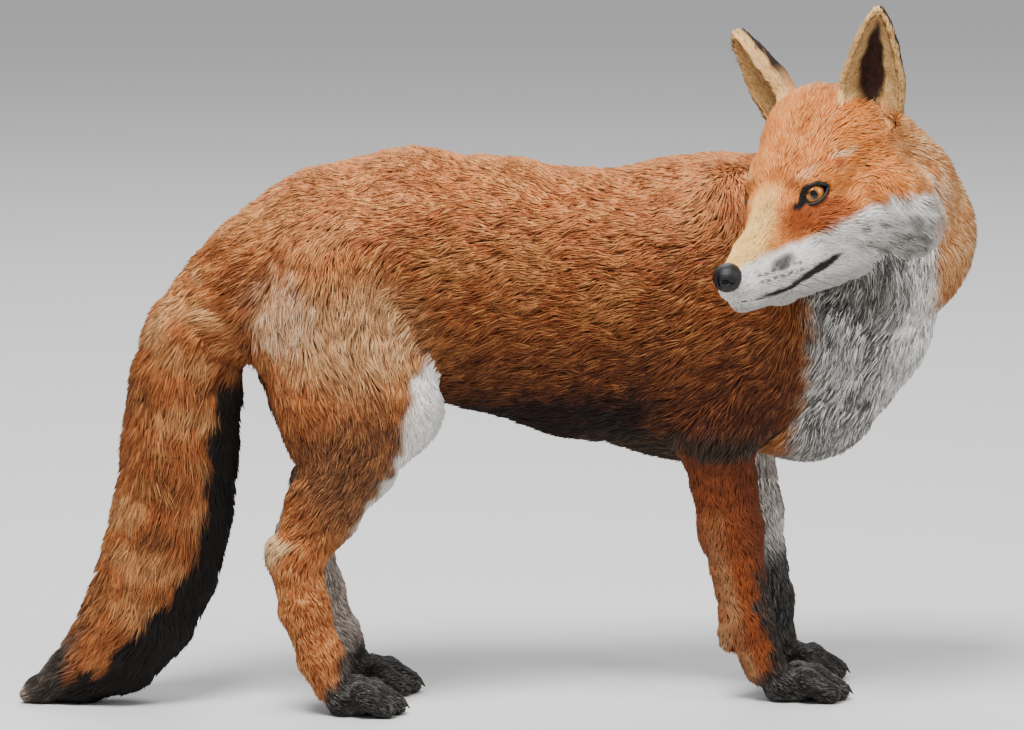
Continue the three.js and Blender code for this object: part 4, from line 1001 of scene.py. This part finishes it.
bars = []
for eye in eyes:
    path, radii = [], []
    for n in range(LID_STEPS):
        turn = 2 * math.pi * n / LID_STEPS
        along = LID_REACH * math.cos(turn)
        reach = max(1 - (along / LID_REACH) ** 2, 0) ** 0.8
        over = (SLOT_HIGH if math.sin(turn) > 0 else -LOWER_LID * SLOT_HIGH) * reach
        out = math.sqrt((EYE_RADIUS + LID - 0.3) ** 2 - along**2 - over**2)
        path.append(eye["at"] + along * eye["outward"] + over * eye["over"] + out * eye["gaze"])
        radii.append(LID_BAR * (1.0 + 0.35 * (math.sin(turn) > 0)))
    bars.append(tube(path, radii, closed=True))
lids = joined("eyelids", bars)


def horn_material(name, shade, roughness, grain, depth):
    """Bare leather or horn: one shade, clouded darker and lighter, with a fine grain."""
    material, nodes, links, shader = new_material(name, roughness)
    where = add_node(nodes, "ShaderNodeTexCoord")
    noise = add_node(nodes, "ShaderNodeTexNoise", Scale=grain, Detail=4.0)
    ramp = nodes.new("ShaderNodeValToRGB")
    ramp.color_ramp.elements[0].color = (*(0.6 * shade), 1)
    ramp.color_ramp.elements[1].color = (*np.minimum(1.5 * shade, 1), 1)
    bump = add_node(nodes, "ShaderNodeBump", Strength=depth, Distance=0.0004)
    links.new(where.outputs["Object"], noise.inputs["Vector"])
    links.new(noise.outputs["Fac"], ramp.inputs["Fac"])
    links.new(ramp.outputs["Color"], shader.inputs["Base Color"])
    links.new(noise.outputs["Fac"], bump.inputs["Height"])
    links.new(bump.outputs["Normal"], shader.inputs["Normal"])
    shader.inputs["Specular IOR Level"].default_value = 0.3
    return material


lids.data.materials.append(horn_material("lid_leather", paint(14, 11, 11), 0.5, 900, 0.4))
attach(lids, "root")

# ---- Nose ----
# Bare pebbled black leather round two comma-shaped nostrils, parted by a groove and moist on top.
# It grows out of the end of the muzzle, and is carved here out of one rounded lump.
NOSE_AT = np.array([81.5, 0.0, -37.0])
NOSE_HALF = np.array([11.0, 10.5, 10.0])
NOSE_CELL = 0.55
GROOVE_FRONT = 91.0
HOLE_AT, HOLE_SHAPE, HOLE_RADIUS = (91.5, 5.2, -38.0), (1.2, 1.0, 0.8), 2.6
SLIT_AT, SLIT_SHAPE, SLIT_RADIUS = (88.5, 8.8, -39.6), (1.3, 1.2, 0.5), 2.0
HOLE_BLEND = 1.5


def nose_distance(points):
    q = head_places(points)
    k = (q - NOSE_AT) / NOSE_HALF
    d = (np.linalg.norm(k, axis=1) - 1) * 9.0
    groove = np.hypot(q[:, 1], np.minimum(q[:, 0] - GROOVE_FRONT, 0)) - 0.7
    d = np.maximum(d, -groove * 0.8)
    for side in (-1, 1):
        mirrored = q * [1, side, 1]
        hole = np.linalg.norm((mirrored - HOLE_AT) / HOLE_SHAPE, axis=1) - HOLE_RADIUS
        slit = np.linalg.norm((mirrored - SLIT_AT) / SLIT_SHAPE, axis=1) - SLIT_RADIUS
        h = np.maximum(HOLE_BLEND - np.abs(hole - slit), 0) / HOLE_BLEND
        cave = np.minimum(hole, slit) - h * h * HOLE_BLEND / 4
        d = np.maximum(d, -cave)
    return d


nose_middle = on_head(*NOSE_AT)
nose_points, nose_quads = surface_net(nose_distance, nose_middle - 15, nose_middle + 15, NOSE_CELL)
nose = flat_mesh("nose_leather", settle(nose_distance, nose_points), nose_quads)
nose.data.materials.append(horn_material("nose_skin", paint(16, 15, 16), 0.42, 1500, 0.7))
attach(nose, "root")
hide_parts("nose")

# ---- Lips ----
# A thin black edge of bare skin along the closed mouth, from under the nose back to its corner
# below the eye. It lies on the hide and thins out towards the back.
LIP_BAR = 1.2
LIP_STEPS = 40
LIP_FRONT, LIP_LONG = 86, 88
reach = np.arange(0, 40, 0.25)
bars = []
for side in (-1, 1):
    path, radii = [], []
    for n in range(LIP_STEPS):
        t = n / (LIP_STEPS - 1)
        x_at = LIP_FRONT - LIP_LONG * t
        z_at = np.interp(x_at, MOUTH_X, MOUTH_Z)
        across = np.stack([np.full(len(reach), x_at), side * reach, np.full(len(reach), z_at)], axis=1)
        spots = BETWEEN_EYES + across @ HEAD.T
        within = np.flatnonzero(skin_distance(spots) < -0.2)
        if within.size:
            path.append(spots[within[-1]])
            radii.append(LIP_BAR * min(1.0, 2.2 - 2 * t))
    bars.append(tube(path, radii))
lips = joined("lips", bars)
lips.data.materials.append(horn_material("lip_leather", paint(34, 28, 28), 0.5, 900, 0.4))
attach(lips, "root")

# ---- Whiskers ----
# Stiff black hairs in two rows on each side of the muzzle, each rooted in a dark spot. They stand
# out sideways, then curve back and down to a fine point.
WHISKER_SEED = 31
WHISKER_OUT = 11.5
WHISKER_DROOP = np.array([-12.0, 0.0, -7.0])
WHISKER_STEPS = 9
WHISKER_THICK, WHISKER_FINE = 0.24, 0.05
bars = []
rng = np.random.default_rng(WHISKER_SEED)
for side in (-1, 1):
    for n in range(2 * len(WHISKERS)):
        row, place = divmod(n, len(WHISKERS))
        spot_at = on_head(WHISKERS[place], side * WHISKER_OUT, WHISKER_ROW - WHISKER_ROW_GAP * row)
        root = settle(coat_distance, spot_at[None])[0]
        backward = -0.55 + rng.normal(0, 0.15)
        way = HEAD @ np.array([backward, side, -0.25 - 0.2 * row + rng.normal(0, 0.1)])
        way /= np.linalg.norm(way)
        long = rng.uniform(22, 42)
        path = [root + way * long * t + HEAD @ (WHISKER_DROOP * t * t)
                for t in np.linspace(0, 1, WHISKER_STEPS)]
        bars.append(tube(path, np.linspace(WHISKER_THICK, WHISKER_FINE, WHISKER_STEPS), sides=5))
whiskers = joined("whiskers", bars)
whiskers.data.materials.append(horn_material("whisker_hair", paint(30, 26, 24), 0.4, 300, 0.1))
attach(whiskers, "root")

# ---- Claws ----
# Blunt hooks of dark horn, one at the end of each toe. They grow out of the last joint, and are
# half hidden in the fur of the toes.
CLAW_HORN = paint(48, 40, 36)
claw_horn = horn_material("claw_horn", CLAW_HORN, 0.4, 700, 0.3)
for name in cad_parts:
    if name.startswith("claw"):
        bpy.data.objects[name].data.materials.clear()
        bpy.data.objects[name].data.materials.append(claw_horn)

# ---- Floor, light and camera ----
# A plain pale studio floor of one wide sheet, with a broad soft light above and in front of it and
# two weaker ones. A long lens looks at the animal's right flank from a little above its back.
FLOOR_HALF = 14
FLOOR_SHADE = (0.56, 0.55, 0.54, 1)
floor_mesh = bpy.data.meshes.new("floor")
corners = [(x * FLOOR_HALF, y * FLOOR_HALF, 0) for x, y in ((-1, -1), (1, -1), (1, 1), (-1, 1))]
floor_mesh.from_pydata(corners, [], [(0, 1, 2, 3)])
floor = bpy.data.objects.new("floor", floor_mesh)
bpy.context.collection.objects.link(floor)
material, nodes, links, shader = new_material("floor_paper", 0.7)
shader.inputs["Base Color"].default_value = FLOOR_SHADE
floor_mesh.materials.append(material)

AZIMUTH = math.radians(-10)
ELEVATION = math.radians(8)
DISTANCE = 5.0
WIDE = 0.7235
LOOK_ALONG, LOOK_UP = 0.0084, 0.2359
SENSOR = 36
right = np.array([math.cos(AZIMUTH), math.sin(AZIMUTH), 0])
level = math.cos(ELEVATION)
ahead = np.array([-math.sin(AZIMUTH) * level, math.cos(AZIMUTH) * level, -math.sin(ELEVATION)])
over = np.cross(right, ahead)
look = LOOK_ALONG * right + LOOK_UP * over + SHIFT / 1000
camera_data = bpy.data.cameras.new("camera")
camera_data.sensor_width = SENSOR
camera_data.lens = SENSOR * DISTANCE / WIDE
camera_data.clip_end = 60
camera = bpy.data.objects.new("camera", camera_data)
turned = np.stack([right, over, -ahead, look - DISTANCE * ahead], axis=1)
camera.matrix_world = Matrix([*turned.tolist(), [0, 0, 0, 1]])
bpy.context.collection.objects.link(camera)
bpy.context.scene.camera = camera


def soft_light(name, at, size, power):
    """A square light at a place, turned to the middle of the animal."""
    data = bpy.data.lights.new(name, "AREA")
    data.size, data.energy = size, power
    lamp = bpy.data.objects.new(name, data)
    lamp.location = at
    lamp.rotation_euler = (Vector((0, 0, 0.25)) - Vector(at)).to_track_quat("-Z", "Y").to_euler()
    bpy.context.collection.objects.link(lamp)


soft_light("key", (-0.8, -1.5, 3.2), 1.3, 270)
soft_light("front", (2.6, -1.6, 1.9), 1.6, 60)
soft_light("back", (0.2, 2.2, 2.6), 1.8, 60)
world = bpy.data.worlds.new("studio")
world.use_nodes = True
world.node_tree.nodes["Background"].inputs["Color"].default_value = (0.93, 0.95, 1.0, 1)
world.node_tree.nodes["Background"].inputs["Strength"].default_value = 0.6
bpy.context.scene.world = world
